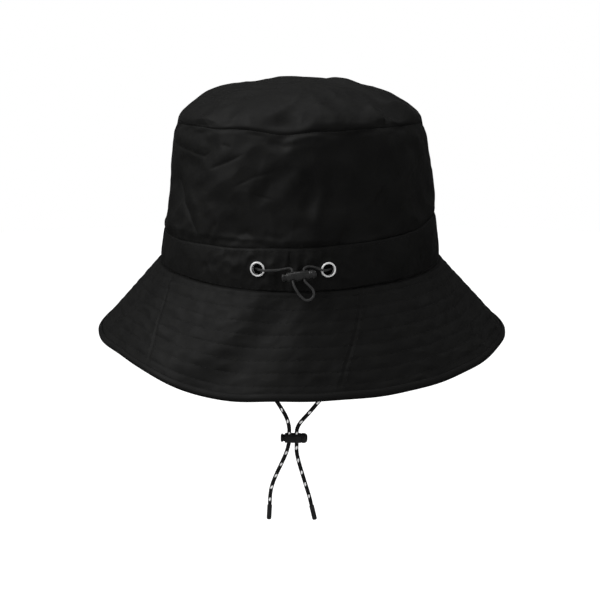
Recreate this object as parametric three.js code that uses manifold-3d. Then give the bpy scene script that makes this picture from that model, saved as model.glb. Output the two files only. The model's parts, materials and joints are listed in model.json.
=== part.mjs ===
// A packable bucket hat, in millimetres, +Z up.
//
// Frame: the origin is the centre of the head opening, in the plane of the seam that joins the crown
// to the brim. The front of the hat faces +Y; the back, with the drawcord and its lock, faces -Y.
// The hat is shown as worn, so the chin cords hang straight down below the opening.
import * as THREE from "three";
import { mergeVertices } from "three/addons/utils/BufferGeometryUtils.js";
import Module from "manifold-3d";

const wasm = await Module();
wasm.setup();

// ---- Driving dimensions ----------------------------------------------------------------------------

const GAP = 0.3; // clearance between neighbouring pieces
const FACETS = 40; // flat facets round the crown and the brim
const FACET_ANGLE = (2 * Math.PI) / FACETS;
const OVAL = 9; // the head opening is this much longer, front and back, than it is wide

const SHELL = 0.8; // doubled nylon of the crown
const BASE_RADIUS = 88; // crown wall at the opening, outside, half the width
const TIP_RADIUS = 78.8; // crown wall at the seam of the tip
const TIP_HEIGHT = 88;
const DOME_HEIGHT = 25; // how far the tip rises above its seam
const DOME_STEPS = 6;

const CASING_HEIGHT = 25; // the band that holds the drawcord
const CASING_THICKNESS = 0.7;
const CASING_RADIUS = 92.2; // its outside, where the cord fills it
const CORD_HEIGHT = 8.7; // drawcord and eyelets above the opening

const SWEATBAND_HEIGHT = 32;
const SWEATBAND_THICKNESS = 0.8;
const SWEATBAND_RADIUS = BASE_RADIUS - SHELL - GAP;

const BRIM_RADIUS = 91.3; // brim at the opening
const BRIM_WIDTH = 67; // from the opening to the edge, along the cloth
const BRIM_SLOPE = THREE.MathUtils.degToRad(47); // below the horizontal, at the sides and the front
const BRIM_BACK_SLOPE = THREE.MathUtils.degToRad(60); // steeper in the middle of the back
const BRIM_STEP = 13; // longest step along the brim's cloth, so that twisted layers stay clear of each other
const CLOTH = 0.5; // one layer of brim cloth
const INTERLINING = 0.6;
const BINDING_WIDTH = 4.5;

const EYELET_FACET = 1.5; // facets from the centre of the back to the facet of each eyelet
const EYELET_INSET = 1; // from that facet's middle, towards the centre of the back
const EYELET_HOLE = 2.85; // radii
const EYELET_BARREL = 3.15;
const EYELET_FLANGE = 4.25;

const DRAWCORD = 1.5; // diameters
const CHIN_CORD = 2.8;
const DRAWCORD_RADIUS = 89.3; // half-width of its run inside the casing
const TIP_LENGTH = 12;

const ANCHOR = { thickness: 1.2, width: 10, height: 12, bottom: 1.8, outside: 85.2 };

const POCKET_RADIUS = 77.2;
const POCKET_CLOTH = 0.6;
const POCKET_OVERLAP = 26; // how far the flap covers the rear panel
const POCKET_MOUTH = 13; // the gap between the panels that the flap uncovers
const POCKET_REAR_HEIGHT = 86.3;
const POCKET_FRONT_HEIGHT = 83;

const HOOK_Y = 82; // the hook hangs here, just inside the front of the crown
const STRAP = { top: 80.5, length: 28, width: 12, thickness: 1.2, loop: 2.4 };
const EYE = { width: 20, height: 14, wire: 2, neck: 2.5 };
const HOOK = { width: 11, length: 23, thickness: 3.4, stem: 4, wall: 2.5 };
const GATE = { middle: 4.3, top: -8.8, height: 8.6, thickness: 1.4, pin: 0.4 };

// Each cord lock is a barrel with two cord holes, a sprung button and its spring.
// Lengths run along the barrel from its middle, towards its closed end.
const BACK_LOCK = {
  name: "back_lock",
  length: 17.2,
  radius: 2.75,
  bore: 2.05,
  button: 2.9,
  holes: [-5.2, 1.5],
  holeRadius: 1.3,
  travel: 1.4,
};
const CHIN_LOCK = {
  name: "chin_lock",
  length: 15.6,
  radius: 3.5,
  bore: 2.75,
  button: 2.9,
  holes: [-4.9, 0.4],
  holeRadius: 1.65,
  travel: 1.4,
};
const BACK_LOCK_AT = new THREE.Vector3(5.4, -106.5, 6.8);
const BACK_LOCK_TILT = THREE.MathUtils.degToRad(-7.5); // its closed end lies higher
const BACK_LOCK_ROLL = THREE.MathUtils.degToRad(-40); // its holes slope down and outwards
const CHIN_LOCK_AT = new THREE.Vector3(-2.65, 0, -131.4);

// ---- Cord routes, chosen by hand -------------------------------------------------------------------

const DRAWCORD_LOOP = [
  [-27.2, -93.6, 8.7],
  [-25.3, -94.0, 8.7],
  [-23.2, -94.6, 8.7],
  [-21.8, -95.7, 8.7],
  [-20.95, -97.35, 8.7],
  [-20.25, -99.25, 8.7],
  [-18.95, -101.15, 8.7],
  [-16.6, -102.6, 8.7],
  [-13.5, -103.2, 8.9],
  [-8.5, -103.3, 9.2],
  [-4.2, -103.0, 9.9],
  [-1.6, -102.9, 10.2],
  [-0.4, -103.5, 9.6],
  [-0.03, -104.7, 8.2],
  [0.25, -106.5, 6.1],
  [0.5, -108.3, 4.0],
  [1.1, -110.0, 1.7],
  [2.6, -111.3, -0.9],
  [4.7, -112.4, -3.7],
  [7.9, -113.2, -6.1],
  [11.0, -112.8, -5.7],
  [12.6, -111.8, -3.3],
  [11.9, -110.9, -0.4],
  [9.4, -110.1, 2.0],
  [7.6, -109.2, 3.8],
  [7.15, -108.2, 5.0],
  [6.9, -106.5, 7.0],
  [6.6, -104.8, 9.0],
  [6.9, -103.6, 10.4],
  [8.6, -102.9, 11.2],
  [11.2, -102.8, 11.2],
  [14.2, -102.8, 10.4],
  [16.7, -102.6, 9.4],
  [18.95, -101.15, 8.8],
  [20.25, -99.25, 8.7],
  [20.95, -97.35, 8.7],
  [21.8, -95.7, 8.7],
  [23.2, -94.6, 8.7],
  [25.3, -94.0, 8.7],
  [27.2, -93.6, 8.7],
];

const CHIN_CORD_LEFT = [
  [-84.2, 0, -0.3],
  [-83.6, 0, -4.0],
  [-80.8, 0, -9.5],
  [-75.0, 0, -18.2],
  [-66.2, 0, -31.2],
  [-56.4, 0, -45.7],
  [-46.6, 0, -60.4],
  [-36.6, 0, -75.1],
  [-27.1, 0, -89.0],
  [-19.3, 0, -100.0],
  [-13.1, 0, -109.6],
  [-9.3, 0, -116.8],
  [-7.6, 0, -123.5],
  [-7.55, 0, -129.6],
  [-7.7, 0, -135.0],
  [-9.5, 0, -142.0],
  [-12.7, 0, -149.8],
  [-16.6, 0, -158.5],
  [-19.6, 0, -166.7],
  [-20.9, 0, -173.6],
  [-21.3, 0, -180.2],
];

const CHIN_CORD_RIGHT = [
  [84.2, 0, -0.3],
  [83.6, 0, -4.0],
  [80.8, 0, -9.4],
  [74.0, 0, -19.5],
  [64.8, 0, -33.1],
  [54.5, 0, -47.9],
  [44.1, 0, -62.9],
  [33.6, 0, -77.7],
  [24.0, 0, -90.8],
  [14.6, 0, -102.5],
  [6.8, 0, -112.3],
  [0.4, 0, -119.9],
  [-2.1, 0, -125.2],
  [-2.2, 0, -130.2],
  [-2.35, 0, -135.0],
  [-2.3, 0, -141.6],
  [-0.8, 0, -149.1],
  [1.5, 0, -157.4],
  [4.2, 0, -166.7],
  [6.5, 0, -174.6],
  [7.8, 0, -180.2],
];

// ---- Materials -------------------------------------------------------------------------------------

const NYLON = { color: 0x16171a, roughness: 0.5, metalness: 0 };
const NYLON_INSIDE = { color: 0x1d1e21, roughness: 0.6, metalness: 0 };
const WEBBING = { color: 0x101113, roughness: 0.8, metalness: 0 };
const BRAID = { color: 0x0e0f11, roughness: 0.75, metalness: 0 };
const FILLER = { color: 0x9a9a96, roughness: 0.95, metalness: 0 };
const PLASTIC = { color: 0x121315, roughness: 0.45, metalness: 0 };
const STEEL = { color: 0xb4b6ba, roughness: 0.3, metalness: 1 };
const DARK_METAL = { color: 0x3a3b3e, roughness: 0.4, metalness: 1 };
const LABEL = { color: 0x8d8f93, roughness: 0.8, metalness: 0 };

const hat = new THREE.Group();

// Adds one named mesh, with a material of its own, to a group.
function addMesh(name, geometry, finish, group = hat) {
  const mesh = new THREE.Mesh(geometry, new THREE.MeshStandardMaterial(finish));
  mesh.name = name;
  group.add(mesh);
  return mesh;
}

// ---- Geometry helpers ------------------------------------------------------------------------------

function toSolid(geometry) {
  const bare = geometry.clone();
  bare.deleteAttribute("normal");
  bare.deleteAttribute("uv");
  const merged = mergeVertices(bare, 1e-3);
  const vertProperties = merged.attributes.position.array;
  const triVerts = new Uint32Array(merged.index.array);
  return new wasm.Manifold(new wasm.Mesh({ numProp: 3, vertProperties, triVerts }));
}

function toGeometry(solid) {
  const mesh = solid.getMesh();
  const positions = new Float32Array(mesh.numVert * 3);
  for (let i = 0; i < mesh.numVert; i++) {
    positions.set(mesh.vertProperties.subarray(i * mesh.numProp, i * mesh.numProp + 3), i * 3);
  }
  const geometry = new THREE.BufferGeometry();
  geometry.setAttribute("position", new THREE.BufferAttribute(positions, 3));
  geometry.setIndex(new THREE.BufferAttribute(mesh.triVerts, 1));
  return geometry;
}

// Cuts one or more geometries away from the first.
function cut(geometry, ...tools) {
  return toGeometry(tools.reduce((solid, tool) => solid.subtract(toSolid(tool)), toSolid(geometry)));
}

function join(geometry, ...others) {
  return toGeometry(others.reduce((solid, other) => solid.add(toSolid(other)), toSolid(geometry)));
}

// Revolves a closed profile of [radius, height] points about the Z axis. A profile that starts and
// ends on the axis is left open there; any other is closed on its first point.
function revolve(profile, facets) {
  const points = profile.map(([radius, height]) => new THREE.Vector2(radius, height));
  if (THREE.ShapeUtils.area(points) < 0) points.reverse();
  if (points[0].x > 0 || points.at(-1).x > 0) points.push(points[0].clone());
  return new THREE.LatheGeometry(points, facets).rotateX(Math.PI / 2);
}

// Lengthens a revolved shape front and back, so that its plan becomes the oval of a head.
function lengthen(geometry) {
  const position = geometry.attributes.position;
  for (let i = 0; i < position.count; i++) {
    const radius = Math.hypot(position.getX(i), position.getY(i));
    position.setY(i, position.getY(i) * (1 + OVAL / Math.max(radius, TIP_RADIUS)));
  }
  return geometry;
}

// A ring or shell of the hat: a revolved profile with an oval plan.
function ovalRing(profile) {
  return lengthen(revolve(profile, FACETS));
}

// A point of the oval plan, at an angle from the centre of the back towards +X.
function ovalPoint(radius, angle, height) {
  return new THREE.Vector3(radius * Math.sin(angle), -(radius + OVAL) * Math.cos(angle), height);
}

// The half of a ring in front of the side seams (side 1) or behind them (side -1).
function halfOf(ring, side) {
  const reach = 400;
  const box = new THREE.BoxGeometry(reach, reach, reach).translate(0, side * (reach / 2 + GAP / 2), 0);
  return toGeometry(toSolid(ring).intersect(toSolid(box)));
}

// A curve through hand-placed points whose parameter runs evenly from point to point.
class ByPoint extends THREE.CatmullRomCurve3 {
  getUtoTmapping(u) {
    return u;
  }
}

function roundSection(radius, sides) {
  const corner = (i) => (2 * Math.PI * (i + 0.5)) / sides;
  const points = Array.from({ length: sides }, (_, i) => {
    return new THREE.Vector2(radius * Math.cos(corner(i)), radius * Math.sin(corner(i)));
  });
  return new THREE.Shape(points);
}

function tube(points, diameter, stepsPerPoint = 1, sides = 8) {
  const route = points.map((point) => (point.isVector3 ? point : new THREE.Vector3(...point)));
  return new THREE.ExtrudeGeometry(roundSection(diameter / 2, sides), {
    steps: (route.length - 1) * stepsPerPoint,
    extrudePath: new ByPoint(route),
  });
}

function extrude(shape, depth, curveSegments = 6) {
  return new THREE.ExtrudeGeometry(shape, { depth, bevelEnabled: false, curveSegments });
}

// A cylinder along Z between two heights.
function rod(radius, low, high, facets = 16) {
  const height = high - low;
  return new THREE.CylinderGeometry(radius, radius, height, facets)
    .rotateX(Math.PI / 2)
    .translate(0, 0, low + height / 2);
}

// ---- Crown -----------------------------------------------------------------------------------------

function domePoints(inset) {
  return Array.from({ length: DOME_STEPS + 1 }, (_, i) => {
    const angle = (i / DOME_STEPS) * (Math.PI / 2);
    const radius = (TIP_RADIUS - inset) * Math.sin(angle);
    return [radius, TIP_HEIGHT + GAP + (DOME_HEIGHT - inset) * Math.cos(angle)];
  });
}

function addCrown() {
  addMesh("crown_top", ovalRing([...domePoints(SHELL), ...domePoints(0).reverse()]), NYLON);

  const wall = ovalRing([
    [BASE_RADIUS, GAP],
    [BASE_RADIUS, CASING_HEIGHT],
    [TIP_RADIUS, TIP_HEIGHT],
    [TIP_RADIUS - SHELL, TIP_HEIGHT],
    [BASE_RADIUS - SHELL, CASING_HEIGHT],
    [BASE_RADIUS - SHELL, GAP],
  ]);
  addMesh("crown_side_back", halfOf(wall, -1), NYLON);
  addMesh("crown_side_front", halfOf(wall, 1), NYLON);

  const inner = SWEATBAND_RADIUS - SWEATBAND_THICKNESS;
  const sweatband = ovalRing([
    [SWEATBAND_RADIUS, GAP],
    [SWEATBAND_RADIUS, CASING_HEIGHT],
    [SWEATBAND_RADIUS - 0.8, SWEATBAND_HEIGHT],
    [inner - 0.8, SWEATBAND_HEIGHT],
    [inner, CASING_HEIGHT],
    [inner, GAP],
  ]);
  addMesh("sweatband", sweatband, NYLON_INSIDE);
}

// ---- Drawcord casing, eyelets and cord -------------------------------------------------------------

// Where an eyelet sits on the casing, and the direction that it faces.
function eyeletFrame(side) {
  const low = ovalPoint(CASING_RADIUS, side * (EYELET_FACET - 0.5) * FACET_ANGLE, CORD_HEIGHT);
  const high = ovalPoint(CASING_RADIUS, side * (EYELET_FACET + 0.5) * FACET_ANGLE, CORD_HEIGHT);
  const along = high.clone().sub(low).normalize();
  const facing = new THREE.Vector3(along.y, -along.x, 0).multiplyScalar(side);
  const centre = low.add(high).multiplyScalar(0.5).addScaledVector(along, -EYELET_INSET);
  return { centre, facing };
}

function eyeletGroup(side) {
  const { centre, facing } = eyeletFrame(side);
  const group = new THREE.Group();
  group.position.copy(centre);
  group.quaternion.setFromUnitVectors(new THREE.Vector3(0, 0, 1), facing);
  hat.add(group);
  return group;
}

function addCasing() {
  const outside = [
    [BASE_RADIUS + GAP + CASING_THICKNESS + 2.4, GAP],
    [CASING_RADIUS, 4],
    [CASING_RADIUS, CASING_HEIGHT - 10],
    [BASE_RADIUS + GAP + CASING_THICKNESS, CASING_HEIGHT],
  ];
  const inside = outside.map(([radius, height]) => [radius - CASING_THICKNESS, height]).reverse();
  const holes = [-1, 1].map((side) => {
    const { centre, facing } = eyeletFrame(side);
    const turn = new THREE.Quaternion().setFromUnitVectors(new THREE.Vector3(0, 0, 1), facing);
    const tool = rod(EYELET_BARREL + GAP, -3, 3, 12);
    return tool.applyQuaternion(turn).translate(centre.x, centre.y, centre.z);
  });
  addMesh("casing_band", cut(ovalRing([...outside, ...inside]), ...holes), NYLON);
}

function addEyelets() {
  const flange = [
    [EYELET_HOLE, 0.6],
    [EYELET_HOLE + 0.3, 1],
    [EYELET_FLANGE - 0.4, 0.9],
    [EYELET_FLANGE, GAP],
    [EYELET_BARREL, GAP],
    [EYELET_BARREL, -1.7],
    [EYELET_HOLE, -1.7],
  ];
  const washerTop = -CASING_THICKNESS - GAP;
  const washer = [
    [EYELET_BARREL + GAP, washerTop],
    [EYELET_FLANGE, washerTop],
    [EYELET_FLANGE, washerTop - 0.4],
    [EYELET_BARREL + GAP, washerTop - 0.4],
  ];
  for (const [side, word] of [[-1, "left"], [1, "right"]]) {
    const group = eyeletGroup(side);
    addMesh(`eyelet_${word}`, revolve(flange, 16), STEEL, group);
    addMesh(`eyelet_washer_${word}`, revolve(washer, 16), STEEL, group);
  }
}

// The run of the drawcord inside the casing, from just past the eyelet to its bar tack at the front.
function casingRun(side) {
  const first = EYELET_FACET + 0.5;
  const last = FACETS / 2 - 0.25;
  const facets = [first, ...Array.from({ length: 17 }, (_, i) => i + 3), last];
  return facets.map((facet) => ovalPoint(DRAWCORD_RADIUS, side * facet * FACET_ANGLE, CORD_HEIGHT));
}

function addDrawcord() {
  addMesh("drawcord_in_casing_left", tube(casingRun(-1), DRAWCORD), BRAID);
  addMesh("drawcord_in_casing_right", tube(casingRun(1), DRAWCORD), BRAID);
  addMesh("drawcord_loop", tube(DRAWCORD_LOOP, DRAWCORD), BRAID);
}

// ---- Cord locks ------------------------------------------------------------------------------------

// A hole through the barrel from side to side, along Z before the barrel is placed.
function cordHole(lock, offset) {
  return rod(lock.holeRadius, -lock.radius - 1, lock.radius + 1, 12).translate(offset, 0, 0);
}

function lockBarrel(lock) {
  const half = lock.length / 2;
  const floor = half - 1.2;
  const shell = revolve(
    [
      [0, -half],
      [lock.radius - 0.4, -half],
      [lock.radius, -half + 0.5],
      [lock.radius, half - 1.6],
      [lock.radius - 1.2, half],
      [0, half],
    ],
    20,
  ).rotateY(Math.PI / 2);
  const bore = rod(lock.bore, -half - 1, floor).rotateY(Math.PI / 2);
  return cut(shell, bore, ...lock.holes.map((offset) => cordHole(lock, offset)));
}

// The button's head stands out of the open end; its stem has a window round each cord, long enough
// to let the button travel.
function lockButton(lock) {
  const half = lock.length / 2;
  const stemEnd = lock.holes[1] + lock.holeRadius + 1.6;
  const head = rod(lock.radius - 0.7, -half - lock.button, -half - lock.travel - GAP);
  const neck = rod(lock.bore - GAP, -half - lock.button + 0.5, stemEnd);
  const button = join(head.rotateY(Math.PI / 2), neck.rotateY(Math.PI / 2));
  const reach = 2 * lock.radius;
  const width = 2 * lock.holeRadius;
  const windows = lock.holes.map((offset) => {
    const window = new THREE.BoxGeometry(width + lock.travel, width, reach);
    return window.translate(offset - lock.travel / 2, 0, 0);
  });
  return cut(button, ...windows);
}

// A coil spring between the stem and the floor of the bore.
function lockSpring(lock) {
  const start = lock.holes[1] + lock.holeRadius + 1.6 + GAP + 0.25;
  const end = lock.length / 2 - 1.2 - GAP - 0.25;
  const turns = 3;
  const perTurn = 10;
  const radius = lock.bore - 0.65;
  const points = Array.from({ length: turns * perTurn + 1 }, (_, i) => {
    const angle = (2 * Math.PI * i) / perTurn;
    const along = start + ((end - start) * i) / (turns * perTurn);
    return new THREE.Vector3(along, radius * Math.cos(angle), radius * Math.sin(angle));
  });
  return tube(points, 0.45, 1, 5);
}

function addLock(lock, place) {
  const group = new THREE.Group();
  place(group);
  hat.add(group);
  addMesh(`${lock.name}_barrel`, lockBarrel(lock), PLASTIC, group);
  addMesh(`${lock.name}_button`, lockButton(lock), PLASTIC, group);
  addMesh(`${lock.name}_spring`, lockSpring(lock), STEEL, group);
}

function addLocks() {
  addLock(BACK_LOCK, (group) => {
    group.position.copy(BACK_LOCK_AT);
    group.rotation.set(BACK_LOCK_ROLL, BACK_LOCK_TILT, 0, "YXZ");
  });
  addLock(CHIN_LOCK, (group) => group.position.copy(CHIN_LOCK_AT));
}

// ---- Brim ------------------------------------------------------------------------------------------

// How steeply the brim slopes at an angle from the centre of the back.
function brimSlope(angle) {
  return BRIM_SLOPE + (BRIM_BACK_SLOPE - BRIM_SLOPE) * Math.max(Math.cos(angle), 0) ** 1.5;
}

// A ring of the brim from a section of [along, below] points: along the cloth from the opening, and
// below its upper face. The section tilts with the slope of the brim.
function brimRing(section) {
  const reach = 10; // holds the section off the axis while it is revolved
  const geometry = revolve(section.map(([along, below]) => [reach + along, -below]), FACETS);
  const position = geometry.attributes.position;
  for (let i = 0; i < position.count; i++) {
    const angle = Math.atan2(position.getX(i), -position.getY(i));
    const along = Math.hypot(position.getX(i), position.getY(i)) - reach;
    const below = -position.getZ(i);
    const slope = brimSlope(angle);
    const radius = BRIM_RADIUS + along * Math.cos(slope) - below * Math.sin(slope);
    const height = -GAP - along * Math.sin(slope) - below * Math.cos(slope);
    const point = ovalPoint(radius, angle, height);
    position.setXYZ(i, point.x, point.y, point.z);
  }
  return geometry;
}

// One face of a layer, in steps short enough to follow the twist of the brim.
function brimFace(below, start, end) {
  const steps = Math.max(Math.round((end - start) / BRIM_STEP), 1);
  return Array.from({ length: steps + 1 }, (_, i) => [start + ((end - start) * i) / steps, below]);
}

function brimLayer(top, thickness, end) {
  return brimRing([...brimFace(top, 0, end), ...brimFace(top + thickness, 0, end).reverse()]);
}

function addBrim() {
  const end = BRIM_WIDTH - CLOTH - GAP;
  const interliningTop = CLOTH + GAP;
  const underTop = interliningTop + INTERLINING + GAP;
  const bottom = underTop + CLOTH;

  const upper = brimLayer(0, CLOTH, end);
  addMesh("brim_top_back", halfOf(upper, -1), NYLON);
  addMesh("brim_top_front", halfOf(upper, 1), NYLON);
  addMesh("brim_interlining", brimLayer(interliningTop, INTERLINING, end), FILLER);
  const under = brimLayer(underTop, CLOTH, end);
  addMesh("brim_under_back", halfOf(under, -1), NYLON);
  addMesh("brim_under_front", halfOf(under, 1), NYLON);

  const start = BRIM_WIDTH - BINDING_WIDTH;
  const binding = brimRing([
    [start, -GAP - CLOTH],
    [BRIM_WIDTH, -GAP - CLOTH],
    [BRIM_WIDTH, bottom + GAP + CLOTH],
    [start, bottom + GAP + CLOTH],
    [start, bottom + GAP],
    [BRIM_WIDTH - CLOTH, bottom + GAP],
    [BRIM_WIDTH - CLOTH, -GAP],
    [start, -GAP],
  ]);
  addMesh("brim_edge_binding", binding, NYLON);
}

// ---- Chin cords ------------------------------------------------------------------------------------

// A crimped end over the last stretch of a cord, standing on the cord's own end.
function cordTip(route) {
  const end = new THREE.Vector3(...route.at(-1));
  const along = end.clone().sub(new THREE.Vector3(...route.at(-2))).normalize();
  const radius = CHIN_CORD / 2 + GAP;
  const profile = [
    [0, GAP],
    [radius - 0.4, GAP],
    [radius, GAP + 0.6],
    [radius, TIP_LENGTH - 0.6],
    [radius - 0.4, TIP_LENGTH],
    [0, TIP_LENGTH],
  ];
  const turn = new THREE.Quaternion().setFromUnitVectors(new THREE.Vector3(0, 0, 1), along);
  return revolve(profile, 10).applyQuaternion(turn).translate(end.x, end.y, end.z);
}

function addChinCords() {
  const sides = [["left", -1, CHIN_CORD_LEFT], ["right", 1, CHIN_CORD_RIGHT]];
  for (const [word, side, route] of sides) {
    const { thickness, width, height, bottom, outside } = ANCHOR;
    const tab = new THREE.BoxGeometry(thickness, width, height);
    tab.translate(side * (outside - thickness / 2), 0, bottom + height / 2);
    addMesh(`chin_anchor_${word}`, tab, WEBBING);
    addMesh(`chin_cord_${word}`, tube(route, CHIN_CORD, 2), BRAID);
    addMesh(`chin_cord_tip_${word}`, cordTip(route), BRAID);
  }
}

// ---- Stow pocket in the tip of the crown -----------------------------------------------------------

// A flat panel of the pocket between two straight edges, as long and wide as the oval lets it be.
function pocketPanel(rear, front, height) {
  const length = POCKET_RADIUS + OVAL;
  const edge = (y) => POCKET_RADIUS * Math.sqrt(1 - (y / length) ** 2);
  const steps = 10;
  const ys = Array.from({ length: steps + 1 }, (_, i) => rear + ((front - rear) * i) / steps);
  const right = ys.map((y) => new THREE.Vector2(edge(y), y));
  const left = ys.map((y) => new THREE.Vector2(-edge(y), y)).reverse();
  return extrude(new THREE.Shape([...right, ...left]), POCKET_CLOTH).translate(0, 0, height);
}

function addPocket() {
  const half = POCKET_OVERLAP / 2;
  const fold = half + POCKET_MOUTH;
  const blunt = POCKET_RADIUS + OVAL - 1.5;
  addMesh("pocket_rear_panel", pocketPanel(-blunt, half, POCKET_REAR_HEIGHT), NYLON_INSIDE);
  addMesh("pocket_front_panel", pocketPanel(fold + GAP, blunt, POCKET_FRONT_HEIGHT), NYLON_INSIDE);
  addMesh("pocket_flap", pocketPanel(-half, fold, POCKET_FRONT_HEIGHT), NYLON_INSIDE);

  const label = new THREE.BoxGeometry(30, 18, 0.5);
  addMesh("label_patch", label.translate(0, -45, POCKET_REAR_HEIGHT - GAP - 0.25), LABEL);
}

// The snap fastener in the middle of the pocket, from the flap's lower face upwards.
function addSnap() {
  const flapTop = POCKET_FRONT_HEIGHT + POCKET_CLOTH;
  const capTop = POCKET_FRONT_HEIGHT - GAP;
  const cap = [
    [0, capTop],
    [6, capTop],
    [6, capTop - 0.3],
    [4.5, capTop - 0.9],
    [0, capTop - 1.1],
  ];
  addMesh("snap_cap", revolve(cap, 20), DARK_METAL);

  const low = flapTop + GAP;
  const socket = [
    [2.3, low],
    [5, low],
    [5, low + 0.5],
    [3.4, low + 1.2],
    [2.3, low + 1.2],
  ];
  addMesh("snap_socket", revolve(socket, 20), DARK_METAL);

  const studTop = POCKET_REAR_HEIGHT - GAP;
  const stud = [
    [0, studTop],
    [4.8, studTop],
    [4.8, studTop - 0.5],
    [1.7, studTop - 0.6],
    [1.6, studTop - 1.4],
    [0, studTop - 1.4],
  ];
  addMesh("snap_stud", revolve(stud, 20), DARK_METAL);

  const postLow = POCKET_REAR_HEIGHT + POCKET_CLOTH + GAP;
  const post = [
    [0, postLow],
    [5, postLow],
    [4.6, postLow + 0.7],
    [0, postLow + 0.7],
  ];
  addMesh("snap_post", revolve(post, 20), DARK_METAL);
}

// ---- Hanging hook ----------------------------------------------------------------------------------

// A rounded outline, width by height, whose top is at z = 0 and whose middle is at x.
function capsule(width, height, x = 0, top = 0) {
  const radius = width / 2;
  const shape = new THREE.Shape();
  shape.absarc(x, top - radius, radius, 0, Math.PI, false);
  shape.absarc(x, top - height + radius, radius, Math.PI, 2 * Math.PI, false);
  return shape;
}

// Webbing stitched flat above and folded into a round loop about the swivel's eye below.
function strapGeometry() {
  const { length, width, thickness, loop } = STRAP;
  const outer = loop + thickness;
  const neck = Math.asin(thickness / outer);
  const shape = new THREE.Shape();
  shape.moveTo(thickness, 0);
  shape.lineTo(-thickness, 0);
  shape.absarc(0, -length + outer, outer, Math.PI / 2 + neck, 2.5 * Math.PI - neck, false);
  shape.closePath();
  shape.holes.push(new THREE.Path().absarc(0, -length + outer, loop, 0, 2 * Math.PI, true));
  return extrude(shape, width, 8)
    .translate(0, 0, -width / 2)
    .rotateX(Math.PI / 2)
    .rotateZ(Math.PI / 2);
}

// The oval eye and the short neck under it that the hook turns on.
function eyeGeometry() {
  const { width, height, wire, neck } = EYE;
  const ring = new THREE.TorusGeometry((height - wire) / 2, wire / 2, 8, 20)
    .scale((width - wire) / (height - wire), 1, 1)
    .rotateX(Math.PI / 2);
  return join(ring, rod(2, -height / 2 - neck, -height / 2 + 0.8, 12));
}

// How far the curved top of the eye drops between the middle and the edges of the webbing.
function eyeDrop() {
  const halfWidth = (EYE.width - EYE.wire) / 2;
  const halfHeight = (EYE.height - EYE.wire) / 2;
  return halfHeight * (1 - Math.sqrt(1 - (STRAP.width / 2 / halfWidth) ** 2));
}

// A snap hook seen along Y: an open loop with a stem on top, a gap on its +X side for the gate, and
// two thin ears at the lower end of the gap that hold the gate's pin.
function hookGeometry() {
  const { width, length, thickness, stem, wall } = HOOK;
  const loop = capsule(width, length - stem, 0, -stem);
  loop.holes.push(capsule(width - 2 * wall, length - stem - 2 * wall, 0, -stem - wall));
  const plate = extrude(loop, thickness, 5).rotateX(Math.PI / 2).translate(0, thickness / 2, 0);
  const { middle, top, height, thickness: gateThickness } = GATE;
  const mouth = new THREE.BoxGeometry(wall + 0.6, 2 * thickness, height - 2.4);
  mouth.translate(middle, 0, top + 0.4 - (height - 2.4) / 2);
  const fork = new THREE.BoxGeometry(wall + 0.6, gateThickness + 2 * GAP, height + 0.8);
  fork.translate(middle, 0, top - height / 2);
  const pinHole = gatePin(GATE.pin + GAP, 2 * thickness);
  return join(cut(plate, mouth, fork, pinHole), rod(2, -stem - 1, -GAP, 12));
}

// The sprung gate that closes the hook, turning on a pin through its lower end.
function gateGeometry() {
  const { middle, top, height, thickness } = GATE;
  const outline = capsule(2.2, height, middle, top);
  const plate = extrude(outline, thickness, 4).rotateX(Math.PI / 2).translate(0, thickness / 2, 0);
  return cut(plate, gatePin(GATE.pin + GAP, 2 * thickness));
}

function gatePin(radius, length) {
  const { middle, top, height } = GATE;
  const pin = rod(radius, -length / 2, length / 2, 8).rotateX(Math.PI / 2);
  return pin.translate(middle, 0, top - height + 1.1);
}

function addHook() {
  const strap = new THREE.Group();
  strap.position.set(0, HOOK_Y, STRAP.top);
  hat.add(strap);
  addMesh("hook_strap", strapGeometry(), WEBBING, strap);

  const eye = new THREE.Group();
  const loopMiddle = -STRAP.length + STRAP.thickness + STRAP.loop;
  eye.position.set(0, 0, loopMiddle + eyeDrop() / 2 - (EYE.height - EYE.wire) / 2);
  strap.add(eye);
  addMesh("swivel_eye", eyeGeometry(), DARK_METAL, eye);

  const hook = new THREE.Group();
  hook.position.set(0, 0, -EYE.height / 2 - EYE.neck);
  eye.add(hook);
  addMesh("hook_body", hookGeometry(), DARK_METAL, hook);
  addMesh("hook_gate", gateGeometry(), DARK_METAL, hook);
  addMesh("gate_pin", gatePin(GATE.pin, HOOK.thickness - 0.2), STEEL, hook);
}

addCrown();
addCasing();
addEyelets();
addBrim();
addDrawcord();
addLocks();
addChinCords();
addPocket();
addSnap();
addHook();

export default hat;
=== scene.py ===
"""A packable bucket hat built round its CAD frame: crumpled nylon, a quilted brim, cords and hardware.

Metres, +Z up, origin at the centre of the head opening. The back of the hat faces -Y. Angles round
the hat run from the centre of the back towards +X, and the plan is an oval: a ring of half-width r
is OVAL longer at the front and at the back. Sizes written as N * MM are millimetres.
"""
import json
import math
from contextlib import contextmanager

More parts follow.
